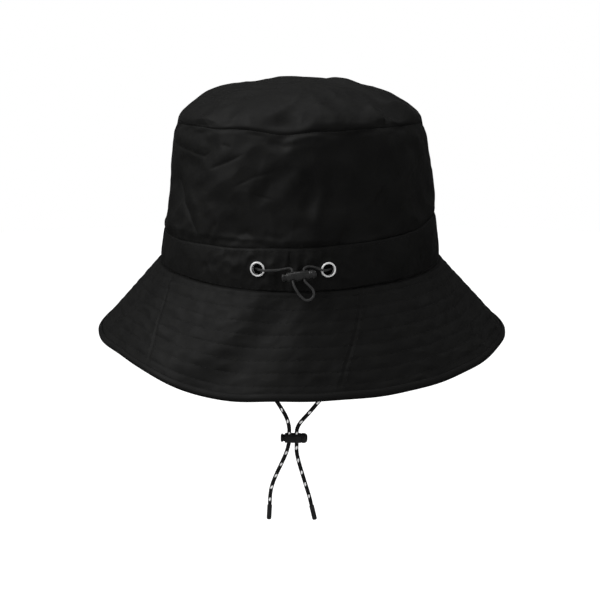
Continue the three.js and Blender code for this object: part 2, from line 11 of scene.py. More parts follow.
import bmesh
import bpy
import numpy as np
from mathutils import Matrix, Vector
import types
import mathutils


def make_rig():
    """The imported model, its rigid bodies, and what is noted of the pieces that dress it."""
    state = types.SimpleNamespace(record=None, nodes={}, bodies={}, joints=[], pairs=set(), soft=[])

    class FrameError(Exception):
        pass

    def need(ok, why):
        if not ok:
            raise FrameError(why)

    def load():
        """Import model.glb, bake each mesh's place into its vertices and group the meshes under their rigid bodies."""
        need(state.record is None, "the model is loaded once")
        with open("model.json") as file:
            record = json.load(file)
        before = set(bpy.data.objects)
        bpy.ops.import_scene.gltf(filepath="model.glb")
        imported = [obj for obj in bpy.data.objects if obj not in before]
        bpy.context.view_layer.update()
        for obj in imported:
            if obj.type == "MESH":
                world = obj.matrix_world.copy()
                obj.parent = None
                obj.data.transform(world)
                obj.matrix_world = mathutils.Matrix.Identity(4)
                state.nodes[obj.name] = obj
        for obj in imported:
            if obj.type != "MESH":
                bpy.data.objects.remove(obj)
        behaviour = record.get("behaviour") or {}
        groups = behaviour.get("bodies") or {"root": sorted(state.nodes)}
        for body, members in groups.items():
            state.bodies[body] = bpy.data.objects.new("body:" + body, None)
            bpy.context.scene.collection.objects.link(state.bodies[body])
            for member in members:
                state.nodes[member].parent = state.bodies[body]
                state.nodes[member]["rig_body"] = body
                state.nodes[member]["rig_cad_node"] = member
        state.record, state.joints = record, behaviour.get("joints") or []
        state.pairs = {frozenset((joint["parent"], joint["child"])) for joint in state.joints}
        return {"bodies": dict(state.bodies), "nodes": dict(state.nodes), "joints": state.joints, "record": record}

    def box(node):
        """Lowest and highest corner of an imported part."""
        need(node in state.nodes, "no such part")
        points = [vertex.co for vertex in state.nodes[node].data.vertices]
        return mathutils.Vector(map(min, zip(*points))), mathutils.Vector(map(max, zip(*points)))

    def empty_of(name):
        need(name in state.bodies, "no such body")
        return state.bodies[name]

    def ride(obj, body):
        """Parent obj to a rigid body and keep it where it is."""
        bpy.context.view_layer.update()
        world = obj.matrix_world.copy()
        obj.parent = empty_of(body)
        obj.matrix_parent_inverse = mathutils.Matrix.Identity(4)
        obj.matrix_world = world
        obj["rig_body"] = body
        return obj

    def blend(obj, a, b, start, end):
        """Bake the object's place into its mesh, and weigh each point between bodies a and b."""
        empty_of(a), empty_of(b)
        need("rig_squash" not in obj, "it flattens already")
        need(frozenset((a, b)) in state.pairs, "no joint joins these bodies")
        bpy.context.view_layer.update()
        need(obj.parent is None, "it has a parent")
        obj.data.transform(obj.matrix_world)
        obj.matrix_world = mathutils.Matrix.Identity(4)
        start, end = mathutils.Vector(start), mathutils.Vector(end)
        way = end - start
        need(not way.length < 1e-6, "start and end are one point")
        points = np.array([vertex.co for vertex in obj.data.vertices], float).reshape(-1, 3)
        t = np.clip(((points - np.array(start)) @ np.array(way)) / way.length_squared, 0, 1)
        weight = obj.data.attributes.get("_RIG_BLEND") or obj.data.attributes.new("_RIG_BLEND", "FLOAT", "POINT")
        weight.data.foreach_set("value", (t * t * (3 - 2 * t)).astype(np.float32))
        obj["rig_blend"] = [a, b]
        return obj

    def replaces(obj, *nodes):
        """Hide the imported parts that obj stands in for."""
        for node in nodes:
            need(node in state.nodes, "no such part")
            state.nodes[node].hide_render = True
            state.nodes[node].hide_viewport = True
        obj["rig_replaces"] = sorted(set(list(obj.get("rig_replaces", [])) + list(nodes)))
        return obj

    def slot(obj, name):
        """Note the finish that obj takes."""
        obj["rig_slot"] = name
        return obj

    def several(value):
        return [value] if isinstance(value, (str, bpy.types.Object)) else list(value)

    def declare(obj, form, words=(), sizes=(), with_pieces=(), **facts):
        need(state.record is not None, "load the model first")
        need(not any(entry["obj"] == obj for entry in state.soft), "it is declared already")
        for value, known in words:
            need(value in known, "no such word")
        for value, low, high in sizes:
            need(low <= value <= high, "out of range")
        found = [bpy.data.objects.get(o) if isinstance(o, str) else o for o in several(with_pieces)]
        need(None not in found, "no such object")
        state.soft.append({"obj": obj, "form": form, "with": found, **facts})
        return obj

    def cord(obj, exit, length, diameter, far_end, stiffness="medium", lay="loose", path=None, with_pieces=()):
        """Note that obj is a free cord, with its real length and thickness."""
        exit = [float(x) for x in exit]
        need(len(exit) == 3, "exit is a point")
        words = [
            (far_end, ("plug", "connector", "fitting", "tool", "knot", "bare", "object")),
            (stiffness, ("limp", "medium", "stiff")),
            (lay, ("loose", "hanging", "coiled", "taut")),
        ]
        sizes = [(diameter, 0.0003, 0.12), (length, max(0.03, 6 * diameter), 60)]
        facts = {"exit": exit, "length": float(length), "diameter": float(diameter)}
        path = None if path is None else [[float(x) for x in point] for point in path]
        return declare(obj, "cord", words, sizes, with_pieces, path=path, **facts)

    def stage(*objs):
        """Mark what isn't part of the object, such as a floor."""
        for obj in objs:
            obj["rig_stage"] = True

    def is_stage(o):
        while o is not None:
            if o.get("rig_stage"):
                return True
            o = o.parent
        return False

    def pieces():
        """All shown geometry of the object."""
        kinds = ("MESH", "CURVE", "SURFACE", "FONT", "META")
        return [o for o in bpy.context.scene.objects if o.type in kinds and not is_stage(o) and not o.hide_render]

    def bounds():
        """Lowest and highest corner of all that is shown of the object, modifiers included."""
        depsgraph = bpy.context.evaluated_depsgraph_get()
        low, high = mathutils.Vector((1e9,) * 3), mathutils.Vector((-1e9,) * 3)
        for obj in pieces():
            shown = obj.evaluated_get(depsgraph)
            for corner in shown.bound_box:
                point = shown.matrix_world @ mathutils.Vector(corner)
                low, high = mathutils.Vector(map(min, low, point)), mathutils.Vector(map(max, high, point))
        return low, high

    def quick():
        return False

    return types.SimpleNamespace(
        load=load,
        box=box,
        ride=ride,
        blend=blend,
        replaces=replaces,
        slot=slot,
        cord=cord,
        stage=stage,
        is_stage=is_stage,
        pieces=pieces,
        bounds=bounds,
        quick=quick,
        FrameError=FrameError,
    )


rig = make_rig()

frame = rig.load()
CAD_BOUNDS = [list(corner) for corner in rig.bounds()]
MM = 0.001
RANDOM = np.random.default_rng(7)

# ---- Sizes, from the frame where a node has them ----------------------------------------------------

TIP_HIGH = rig.box("crown_top")[1]
WALL_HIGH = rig.box("crown_side_back")[1]
CASING_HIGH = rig.box("casing_band")[1]
OVAL = TIP_HIGH.y - TIP_HIGH.x
TIP_HALF = TIP_HIGH.x
TIP_SEAM_Z = WALL_HIGH.z
DOME_RISE = TIP_HIGH.z - TIP_SEAM_Z
WALL_HALF = WALL_HIGH.x
CASING_HALF = CASING_HIGH.x
CASING_TOP = CASING_HIGH.z
SHELL = 0.8 * MM
BRIM_HALF = 91.3 * MM
BRIM_START_Z = -0.3 * MM
BRIM_WIDTH = 67 * MM
SIDE_SLOPE = math.radians(47)
BACK_SLOPE = math.radians(60)
CLOTH = 0.5 * MM
CHIN_CORD = 2.8 * MM
DRAWCORD = 1.5 * MM

# ---- Cord routes, the same as in the part's own source ----------------------------------------------

DRAWCORD_LOOP = [
    (-27.2, -93.6, 8.7), (-25.3, -94.0, 8.7), (-23.2, -94.6, 8.7), (-21.8, -95.7, 8.7),
    (-20.95, -97.35, 8.7), (-20.25, -99.25, 8.7), (-18.95, -101.15, 8.7), (-16.6, -102.6, 8.7),
    (-13.5, -103.2, 8.9), (-8.5, -103.3, 9.2), (-4.2, -103.0, 9.9), (-1.6, -102.9, 10.2),
    (-0.4, -103.5, 9.6), (-0.03, -104.7, 8.2), (0.25, -106.5, 6.1), (0.5, -108.3, 4.0),
    (1.1, -110.0, 1.7), (2.6, -111.3, -0.9), (4.7, -112.4, -3.7), (7.9, -113.2, -6.1),
    (11.0, -112.8, -5.7), (12.6, -111.8, -3.3), (11.9, -110.9, -0.4), (9.4, -110.1, 2.0),
    (7.6, -109.2, 3.8), (7.15, -108.2, 5.0), (6.9, -106.5, 7.0), (6.6, -104.8, 9.0),
    (6.9, -103.6, 10.4), (8.6, -102.9, 11.2), (11.2, -102.8, 11.2), (14.2, -102.8, 10.4),
    (16.7, -102.6, 9.4), (18.95, -101.15, 8.8), (20.25, -99.25, 8.7), (20.95, -97.35, 8.7),
    (21.8, -95.7, 8.7), (23.2, -94.6, 8.7), (25.3, -94.0, 8.7), (27.2, -93.6, 8.7),
]
CHIN_CORD_LEFT = [
    (-84.2, 0, -0.3), (-83.6, 0, -4.0), (-80.8, 0, -9.5), (-75.0, 0, -18.2), (-66.2, 0, -31.2),
    (-56.4, 0, -45.7), (-46.6, 0, -60.4), (-36.6, 0, -75.1), (-27.1, 0, -89.0), (-19.3, 0, -100.0),
    (-13.1, 0, -109.6), (-9.3, 0, -116.8), (-7.6, 0, -123.5), (-7.55, 0, -129.6), (-7.7, 0, -135.0),
    (-9.5, 0, -142.0), (-12.7, 0, -149.8), (-16.6, 0, -158.5), (-19.6, 0, -166.7),
    (-20.9, 0, -173.6), (-21.3, 0, -180.2),
]
CHIN_CORD_RIGHT = [
    (84.2, 0, -0.3), (83.6, 0, -4.0), (80.8, 0, -9.4), (74.0, 0, -19.5), (64.8, 0, -33.1),
    (54.5, 0, -47.9), (44.1, 0, -62.9), (33.6, 0, -77.7), (24.0, 0, -90.8), (14.6, 0, -102.5),
    (6.8, 0, -112.3), (0.4, 0, -119.9), (-2.1, 0, -125.2), (-2.2, 0, -130.2), (-2.35, 0, -135.0),
    (-2.3, 0, -141.6), (-0.8, 0, -149.1), (1.5, 0, -157.4), (4.2, 0, -166.7), (6.5, 0, -174.6),
    (7.8, 0, -180.2),
]


# ---- Camera, floor and light ------------------------------------------------------------------------

CAMERA_TURN = math.radians(2.4)  # towards +X from straight behind the hat
CAMERA_DISTANCE = 0.75
CAMERA_HEIGHT = 0.145
CAMERA_PITCH = math.radians(13.35)
CAMERA_LENS = 68.6
FLOOR_Z = -1.0


def add_object(name, data):
    made = bpy.data.objects.new(name, data)
    bpy.context.scene.collection.objects.link(made)
    return made


def add_camera():
    data = bpy.data.cameras.new("camera")
    data.lens = CAMERA_LENS
    data.clip_start = 0.05
    camera = add_object("camera", data)
    across = CAMERA_DISTANCE * math.sin(CAMERA_TURN)
    back = -CAMERA_DISTANCE * math.cos(CAMERA_TURN)
    camera.location = (across, back, CAMERA_HEIGHT)
    camera.rotation_euler = (math.pi / 2 - CAMERA_PITCH, 0, CAMERA_TURN)
    bpy.context.scene.camera = camera


def add_light(name, place, size, power):
    data = bpy.data.lights.new(name, "AREA")
    data.shape = "DISK"
    data.size = size
    data.energy = power
    light = add_object(name, data)
    light.location = place
    light.rotation_euler = (-Vector(place)).to_track_quat("-Z", "Y").to_euler()


def add_world():
    world = bpy.data.worlds.new("studio")
    world.use_nodes = True
    background = world.node_tree.nodes["Background"]
    background.inputs["Color"].default_value = (1, 1, 1, 1)
    background.inputs["Strength"].default_value = 1.0
    bpy.context.scene.world = world
    world.cycles_visibility.glossy = False


def add_floor():
    bpy.ops.mesh.primitive_circle_add(vertices=96, radius=6, fill_type="NGON")
    floor = bpy.context.object
    floor.name = "floor"
    floor.location = (0, 0, FLOOR_Z)
    material = bpy.data.materials.new("floor_paint")
    material.use_nodes = True
    shader = material.node_tree.nodes["Principled BSDF"]
    for socket, value in (
        ("Base Color", (0.95, 0.95, 0.95, 1)), ("Roughness", 0.9),
        ("Emission Color", (1, 1, 1, 1)), ("Emission Strength", 0.25),
    ):
        shader.inputs[socket].default_value = value
    floor.data.materials.append(material)
    floor.visible_glossy = False
    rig.stage(floor)


add_camera()
add_world()
add_floor()
for lamp_name, lamp_place, lamp_size, lamp_watts in (
    ("key", (-1.25, -0.5, 1.3), 1.3, 17),
    ("fill", (1.3, -1.0, 0.3), 1.2, 0.7),
    ("rim", (1.1, 0.5, 0.9), 0.6, 1),
    ("top", (-0.1, 0.35, 1.7), 0.9, 5.5),
):
    add_light(lamp_name, lamp_place, lamp_size, lamp_watts)
bpy.context.scene.view_settings.view_transform = "Standard"


# ---- Mesh helpers -----------------------------------------------------------------------------------


def new_piece(name, points, faces, materials):
    """A piece from a list of points and faces, with one or more materials."""
    mesh = bpy.data.meshes.new(name)
    mesh.from_pydata(np.asarray(points, float).reshape(-1, 3).tolist(), [], faces)
    mesh.shade_smooth()
    for material in materials if isinstance(materials, (list, tuple)) else [materials]:
        mesh.materials.append(material)
    return add_object(name, mesh)


def grid_faces(rows, columns, closed_rows, closed_columns=False):
    """Quads over points stored row by row. closed_rows joins each row's end to its start."""
    row = np.arange(rows if closed_columns else rows - 1)
    column = np.arange(columns if closed_rows else columns - 1)
    row, column = np.meshgrid(row, column, indexing="ij")
    next_row, next_column = (row + 1) % rows, (column + 1) % columns
    corners = [
        row * columns + column,
        row * columns + next_column,
        next_row * columns + next_column,
        next_row * columns + column,
    ]
    return np.stack(corners, axis=-1).reshape(-1, 4).tolist()


def add_uv(piece, u, v):
    """A UV map in centimetres of cloth from one u and v for each point. Seams where u wraps are mended."""
    mesh = piece.data
    layer = mesh.uv_layers.new(name="cloth")
    corner = np.empty(len(mesh.loops), int)
    mesh.loops.foreach_get("vertex_index", corner)
    across = np.asarray(u, float).ravel()[corner]
    along = np.asarray(v, float).ravel()[corner]
    whole = across.max() - across.min()
    start = np.empty(len(mesh.polygons), int)
    count = np.empty(len(mesh.polygons), int)
    mesh.polygons.foreach_get("loop_start", start)
    mesh.polygons.foreach_get("loop_total", count)
    for first, total in zip(start[count > 2], count[count > 2]):
        part = across[first : first + total]
        if part.max() - part.min() > whole / 2:
            part[part < whole / 2] += whole
    layer.data.foreach_set("uv", np.stack([across, along], axis=-1).astype(np.float32).ravel())


def solidify(piece, thickness, offset=-1.0, lined=False):
    """Gives a sheet its thickness, on the side that its faces turn away from when offset is -1.

    A lined sheet has its second material on that side.
    """
    modifier = piece.modifiers.new("thickness", "SOLIDIFY")
    modifier.thickness = thickness
    modifier.offset = offset
    modifier.material_offset = int(lined)
    bake_modifiers(piece)


def bake_modifiers(piece):
    """Turns a piece's modifiers into its own mesh."""
    evaluated = piece.evaluated_get(bpy.context.evaluated_depsgraph_get())
    mesh = bpy.data.meshes.new_from_object(evaluated)
    piece.modifiers.clear()
    piece.data = mesh
    mesh.shade_smooth()


@contextmanager
def mesh_edit(piece):
    """Opens a piece's mesh for editing, and writes it back."""
    mesh = bmesh.new()
    mesh.from_mesh(piece.data)
    yield mesh
    mesh.to_mesh(piece.data)
    mesh.free()


def unit(vectors):
    """Vectors along the last axis, at length 1."""
    return vectors / np.maximum(np.linalg.norm(vectors, axis=-1, keepdims=True), 1e-12)


def revolve(profile, segments):
    """Points and faces of a closed [radius, height] outline turned about Z."""
    profile = np.asarray(profile, float)
    turn = 2 * math.pi * np.arange(segments) / segments
    points = np.stack(
        [
            profile[:, :1] * np.cos(turn),
            profile[:, :1] * np.sin(turn),
            np.repeat(profile[:, 1:], segments, axis=1),
        ],
        axis=-1,
    )
    return points.reshape(-1, 3), grid_faces(len(profile), segments, True)


def smooth_route(points, step):
    """Points of a smooth curve through given ones, about step apart."""
    route = np.asarray(points, float)
    padded = np.vstack([2 * route[0] - route[1], route, 2 * route[-1] - route[-2]])
    parts = []
    for before, first, second, after in zip(padded, padded[1:], padded[2:], padded[3:]):
        count = max(2, math.ceil(np.linalg.norm(second - first) / step))
        t = (np.arange(count) / count)[:, None]
        parts.append(
            0.5
            * (
                2 * first
                + (second - before) * t
                + (2 * before - 5 * first + 4 * second - after) * t**2
                + (3 * first - before - 3 * second + after) * t**3
            )
        )
    return np.vstack([*parts, route[-1:]])


def route_frames(route):
    """Tangent and two cross directions at each point of a route, without any twist of their own."""
    tangent = unit(np.gradient(route, axis=0))
    side = np.cross(tangent[0], (0.0, 1.0, 0.0))
    if np.linalg.norm(side) < 0.1:
        side = np.cross(tangent[0], (1.0, 0.0, 0.0))
    sides = []
    for direction in tangent:
        side = unit(side - direction * (side @ direction))
        sides.append(side)
    sides = np.array(sides)
    return tangent, sides, np.cross(tangent, sides)


def sweep(route, radius, sides):
    """A capped tube along a route. radius is one number, or an array of one for each point and side."""
    _, first, second = route_frames(route)
    turn = 2 * math.pi * np.arange(sides) / sides
    radius = np.broadcast_to(radius, (len(route), sides))[..., None]
    ring = first[:, None] * np.cos(turn)[:, None] + second[:, None] * np.sin(turn)[:, None]
    points = route[:, None] + radius * ring
    faces = grid_faces(len(route), sides, True)
    faces.append(list(range(sides))[::-1])
    last = (len(route) - 1) * sides
    faces.append([last + i for i in range(sides)])
    return points.reshape(-1, 3), faces


def route_lengths(route):
    return np.concatenate([[0], np.cumsum(np.linalg.norm(np.diff(route, axis=0), axis=1))])


# ---- Cloth fields -----------------------------------------------------------------------------------


def angles_round(columns):
    """Evenly spaced angles once round the hat, from the centre of the front."""
    return 2 * math.pi * np.arange(columns) / columns - math.pi


def oval_point(radius, angle, height):
    """A point of the oval plan, or an array of them."""
    radius, angle, height = np.broadcast_arrays(radius, angle, height)
    back = -np.where(radius < TIP_HALF, radius * (1 + OVAL / TIP_HALF), radius + OVAL)
    return np.stack([radius * np.sin(angle), back * np.cos(angle), height], axis=-1)


def waves(x, y, length, count=14, turns=None):
    """A smooth random field, about -1 to 1, whose waves are about one length long.

    With turns, x is an angle and turns is the radius that makes it a length, and the field closes on
    itself after a whole turn.
    """
    field = np.zeros(np.broadcast(x, y).shape)
    for _ in range(count):
        heading = RANDOM.uniform(0, 2 * math.pi)
        number = 2 * math.pi / (length * RANDOM.uniform(0.7, 1.4))
        across, along = number * math.cos(heading), number * math.sin(heading)
        if turns:
            across = round(across * turns)
        field += np.cos(across * x + along * y + RANDOM.uniform(0, 2 * math.pi))
    return field / math.sqrt(count / 2) / 2


def crumple(x, y, length, turns=None):
    """Facets that meet in sharp creases, as in nylon that was packed away. About -1 to 1."""
    field = sum(np.abs(waves(x, y, length * k, 10, turns)) for k in (1.0, 0.7))
    return 1 - 1.6 * field


def smoothstep(low, high, value):
    t = np.clip((value - low) / (high - low), 0, 1)
    return t * t * (3 - 2 * t)


def bump(value, centre, width):
    return np.exp(-(((value - centre) / width) ** 2))


def crease(x, y, points, width, sharp=False):
    """How near (x, y) lies to a line through points: 1 on it, falling to 0 over about a width.

    The line fades at its two ends. A sharp crease comes to an edge; a soft one is rounded.
    """
    best = np.zeros(np.broadcast(x, y).shape)
    count = len(points) - 1
    for i, (start, end) in enumerate(zip(points, points[1:])):
        start, end = np.array(start, float), np.array(end, float)
        run = end - start
        share = np.clip(((x - start[0]) * run[0] + (y - start[1]) * run[1]) / (run @ run), 0, 1)
        gap = np.hypot(x - start[0] - share * run[0], y - start[1] - share * run[1]) / width
        near = np.exp(-1.3 * gap) if sharp else np.exp(-gap * gap)
        total = (i + share) / count
        fade = smoothstep(0, 0.25, total) * smoothstep(0, 0.25, 1 - total)
        best = np.maximum(best, near * fade)
    return best


def folds(x, y, scale, soft, sharp=()):
    """The sum of listed creases, each (rise, width, line), with rises counted in scale."""
    out = sum(rise * crease(x, y, line, width) for rise, width, line in soft)
    return scale * (out + sum(rise * crease(x, y, line, width, True) for rise, width, line in sharp))


def normals_of(points, closed):
    """Unit normals of a grid of points, by differences along its rows and columns."""
    if closed:
        across = np.roll(points, -1, axis=1) - np.roll(points, 1, axis=1)
    else:
        across = np.gradient(points, axis=1)
    return unit(np.cross(across, np.gradient(points, axis=0)))


def sampled(field, row, column, closed, ease=None):
    """A grid's values between its points. ease reshapes the share between two rows or columns."""
    rows, columns = field.shape[:2]
    low = np.minimum(row.astype(int), rows - 2)
    left = column.astype(int) % columns if closed else np.minimum(column.astype(int), columns - 2)
    down, right = row - low, column % 1 if closed else column - left
    if ease:
        down, right = ease(down), ease(right)
    down, right, after = down[..., None], right[..., None], (left + 1) % columns
    upper = field[low, left] * (1 - right) + field[low, after] * right
    lower = field[low + 1, left] * (1 - right) + field[low + 1, after] * right
    return upper * (1 - down) + lower * down


def spread(field, rows, columns, closed):
    """Resamples a coarse grid of vectors to a finer one, smoothly."""
    if closed:
        at_column = np.arange(columns) * field.shape[1] / columns
    else:
        at_column = np.linspace(0, field.shape[1] - 1, columns)
    row, column = np.meshgrid(np.linspace(0, field.shape[0] - 1, rows), at_column, indexing="ij")
    return soften(sampled(field, row, column, closed, smoothed_share), 2, closed)


def smoothed_share(share):
    return 0.5 * (share + smoothstep(0, 1, share))


def soften(field, times, closed):
    """Averages a grid with its neighbours, a few times over."""
    for _ in range(times):
        padded = np.pad(field, ((1, 1), (0, 0), (0, 0)), "edge")
        field = (padded[:-2] + 2 * padded[1:-1] + padded[2:]) / 4
        padded = np.pad(field, ((0, 0), (1, 1), (0, 0)), "wrap" if closed else "edge")
        field = (padded[:, :-2] + 2 * padded[:, 1:-1] + padded[:, 2:]) / 4
    return field


def slack_cloth(points, closed, held, spare, stiffness, frames=22):
    """How far each point of a grid moves when the cloth is spare (a share) too large for its seams.

    held is true where the cloth is sewn down.
    """
    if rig.quick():
        return np.zeros_like(points)
    rows, columns = points.shape[:2]
    sheet = new_piece("slack", points, grid_faces(rows, columns, closed), [])
    group = sheet.vertex_groups.new(name="sewn")
    group.add(np.flatnonzero(held.ravel()).tolist(), 1.0, "REPLACE")
    cloth = sheet.modifiers.new("cloth", "CLOTH")
    settings = {
        "vertex_group_mass": "sewn", "pin_stiffness": 50, "shrink_min": -spare, "quality": 8, "mass": 0.05,
        "tension_stiffness": 15, "compression_stiffness": 15, "shear_stiffness": 8,
        "bending_stiffness": stiffness, "air_damping": 2,
    }
    for name, value in settings.items():
        setattr(cloth.settings, name, value)
    cloth.settings.effector_weights.gravity = 0
    cloth.point_cache.frame_start = 1
    cloth.point_cache.frame_end = frames
    for number in range(1, frames + 1):
        bpy.context.scene.frame_set(number)
    evaluated = sheet.evaluated_get(bpy.context.evaluated_depsgraph_get())
    settled = np.empty(rows * columns * 3, np.float32)
    evaluated.data.vertices.foreach_get("co", settled)
    bpy.data.objects.remove(sheet)
    bpy.context.scene.frame_set(1)
    return settled.reshape(rows, columns, 3).astype(float) - points


def limit(move, most):
    """Caps how far points move, gently."""
    length = np.linalg.norm(move, axis=-1, keepdims=True)
    return move * (most * np.tanh(length / most) / np.maximum(length, 1e-9))


# ---- Crown wall -------------------------------------------------------------------------------------

WALL_ROWS = 120
WALL_COLUMNS = 620
COARSE_WALL = (44, 300)  # rows and columns of the simulated cloth
COARSE_TIP = 81
WALL_LOW = 4 * MM
SPARE_CLOTH = 0.012  # share by which the crown's cloth is too large for its seams
MOST_WALL_SLACK = 1.8 * MM
MOST_TIP_SLACK = 2.2 * MM
# Millimetres of cloth for each degree round the hat, for the lines of the folds.
WALL_DEGREE, CASING_DEGREE, BRIM_DEGREE, SEAM_DEGREE = 1.6, 1.65, 1.9, 2.1


def casing_seam_height(angle):
    """The casing's top seam, which runs lower on the left and climbs towards the right side."""
    sides = 22.3 + 3.6 * np.sin(angle) - 1.3 * np.cos(angle) + 3.0 * bump(angle, 1.35, 0.3)
    return (sides + 0.35 * waves(angle, 0.0, 0.5, 8, 1.0)) * MM


def wall_radius(height):
    """Half-width of the wall at a height: straight, and a little fuller below the tip's seam."""
    rise = np.clip((height - CASING_TOP) / (TIP_SEAM_Z - CASING_TOP), 0, 1)
    return WALL_HALF + (TIP_HALF - WALL_HALF) * rise + 1.3 * MM * np.sin(math.pi * rise**1.6)


def wall_grid(rows, columns):
    angle, height = np.meshgrid(angles_round(columns), np.linspace(WALL_LOW, TIP_SEAM_Z, rows))
    return angle, height, oval_point(wall_radius(height), angle, height)


# Folds of the crown's back: how far out in millimetres, width, and a line of millimetres round and up.
WALL_FOLDS = [
    (0.8, 4.5, [(-112, 80), (-82, 78), (-62, 77)]),
    (0.5, 4, [(-58, 69), (-40, 76)]),
    (1.6, 6, [(-92, 42), (-84, 34), (-77, 24)]),
    (0.8, 5, [(-85, 55), (-72, 40), (-58, 26)]),
    (1.1, 3.5, [(24, 57), (18, 52), (15, 40), (12, 30)]),
    (-0.9, 5, [(16, 58), (9, 50), (6, 38)]),
    (-1.2, 5, [(56, 50), (64, 46)]),
    (1.0, 5, [(93, 86), (108, 76), (120, 64), (126, 50)]),
    (-0.8, 6, [(80, 84), (96, 72), (104, 60)]),
    (-0.55, 2.4, [(-44, 20), (-35, 26), (-27, 31)]),
    (-0.55, 2.4, [(-33, 31), (-24, 25), (-16, 20)]),
    (-0.7, 2.2, [(-19, 29), (-12, 27), (-4, 25)]),
    (-1.0, 3, [(26, 20), (31, 27), (35, 33)]),
    (-0.7, 1.8, [(-60, 20), (-55, 27), (-50, 35)]),
    (0.9, 4, [(-10, 84), (12, 81), (36, 84)]),
    (-0.6, 2.6, [(-34, 84), (-10, 81.5), (16, 82), (30, 85)]),
]
WALL_CREASES = [
    (-1.0, 1.5, [(-118, 77), (-104, 75), (-84, 73), (-66, 71), (-58, 76)]),
    (-0.9, 1.4, [(-60, 63), (-52, 66), (-44, 69), (-30, 75)]),
    (-0.7, 1.3, [(-51, 79), (-42, 77)]),
    (-1.0, 1.6, [(-100, 58), (-94, 52), (-84, 42), (-72, 31), (-60, 20)]),
    (-0.5, 1.5, [(-40, 54), (-26, 61), (-10, 65)]),
    (-0.5, 1.3, [(-28, 52), (-20, 50), (-10, 48)]),
]


def seam_dip(angle, distance):
    """How far the tip's seam hangs below its level, for a point at a distance from the seam."""
    dip = 2.6 * bump(angle, -0.06, 0.2) + 0.9 * bump(angle, 0.33, 0.12) + 0.8 * bump(angle, -0.62, 0.12)
    dip += 0.9 * bump(np.abs(angle), 1.5, 0.5) + 0.35 * bump(np.abs(angle), 2.6, 0.3)
    return dip * MM * bump(distance, 0, 14 * MM)


def wall_surface():
    """The wall's outer face as a grid of points, with the angle and height of each."""
    angle, height, base = wall_grid(WALL_ROWS, WALL_COLUMNS)
    coarse_angle, coarse_height, coarse = wall_grid(*COARSE_WALL)
    seam = casing_seam_height(coarse_angle)
    held = (coarse_height < seam) | (coarse_height > TIP_SEAM_Z - 0.5 * MM)
    start = coarse + normals_of(coarse, True) * (
        0.25 * MM * waves(coarse_angle, coarse_height, 0.02, 14, WALL_HALF)
    )[..., None] * ~held[..., None]
    slack = slack_cloth(start, True, held, SPARE_CLOTH, 0.35) + start - coarse
    slack = spread(limit(slack, MOST_WALL_SLACK), WALL_ROWS, WALL_COLUMNS, True)
    free = smoothstep(0, 4 * MM, height - casing_seam_height(angle))
    free = free * smoothstep(0, 3 * MM, TIP_SEAM_Z - height)
    crumples = 1.1 * MM * waves(angle, height, 0.05, 12, WALL_HALF)
    crumples += 0.22 * MM * crumple(angle, height, 0.03, WALL_HALF)
    out = folds(np.degrees(angle) * WALL_DEGREE, height / MM, MM, WALL_FOLDS, WALL_CREASES)
    out += crumples * free
    out += 0.25 * MM * smoothstep(1, 0, free) * np.sin(angle * 260)
    out -= 2.6 * MM * bump(angle, -1.5, 0.5) * bump(height, 54 * MM, 22 * MM)
    points = base + slack + normals_of(base, True) * out[..., None]
    points[..., 2] -= seam_dip(angle, TIP_SEAM_Z - height)
    return angle, height, points


# ---- Crown tip --------------------------------------------------------------------------------------

TIP_GRID = 191


def tip_grid(count):
    """A square grid drawn onto the tip's oval disc, so that its middle has no crowded point."""
    line = np.linspace(-1, 1, count)
    u, v = np.meshgrid(line, line)
    x = u * np.sqrt(1 - v * v / 2)
    y = v * np.sqrt(1 - u * u / 2)
    share = np.clip(np.hypot(x, y), 0, 1)
    rise = DOME_RISE * np.clip(1 - share**2.15, 0, 1) ** 0.6
    points = np.stack([x * TIP_HALF, y * (TIP_HALF + OVAL), TIP_SEAM_Z + rise], axis=-1)
    return share, points


# Folds of the tip: how far out in millimetres, width, and a line of plan points in millimetres.
TIP_FOLDS = [
    (1.3, 8, [(-66, -62), (-52, -60), (-32, -38), (-14, -4)]),
    (-1.0, 9, [(-46, -84), (-30, -58), (-6, -26)]),
    (1.2, 4, [(-32, -86), (-13, -80), (-2, -70), (8, -44)]),
    (-1.6, 5, [(-34, -84), (-10, -85), (12, -86)]),
    (1.2, 3.5, [(8, -68), (18, -74), (28, -82)]),
    (-1.2, 6, [(14, -60), (30, -66), (44, -70)]),
    (1.2, 4, [(42, -56), (50, -62), (55, -66)]),
    (1.8, 6, [(10, -8), (28, -14), (58, -36), (74, -30)]),
    (-1.4, 6, [(8, -22), (34, -32), (56, -50)]),
    (-1.5, 5, [(52, -64), (58, -60)]),
    (1.3, 9, [(-60, 20), (-20, 34), (30, 28), (62, 46)]),
    (-1.2, 8, [(-40, 55), (0, 62), (44, 70)]),
]


def tip_surface():
    share, base = tip_grid(TIP_GRID)
    coarse_share, coarse = tip_grid(COARSE_TIP)
    held = coarse_share > 0.995
    wobble = 0.3 * MM * waves(coarse[..., 0], coarse[..., 1], 0.03)
    start = coarse + normals_of(coarse, False) * (wobble * ~held)[..., None]
    slack = slack_cloth(start, False, held, SPARE_CLOTH, 0.6) + start - coarse
    slack = spread(limit(slack, MOST_TIP_SLACK), TIP_GRID, TIP_GRID, False)
    x, y = base[..., 0], base[..., 1]
    edge = smoothstep(1.0, 0.94, share)
    out = folds(x / MM, y / MM, MM, TIP_FOLDS) * smoothstep(1.0, 0.97, share)
    out += edge * (0.9 * MM * waves(x, y, 0.06) + 0.25 * MM * crumple(x, y, 0.03))
    points = base + slack + normals_of(base, False) * out[..., None]
    angle = np.arctan2(x / TIP_HALF, -y / (TIP_HALF + OVAL))
    points[..., 2] -= seam_dip(angle, (1 - share) * TIP_HALF)
    return points


# ---- Casing band ------------------------------------------------------------------------------------

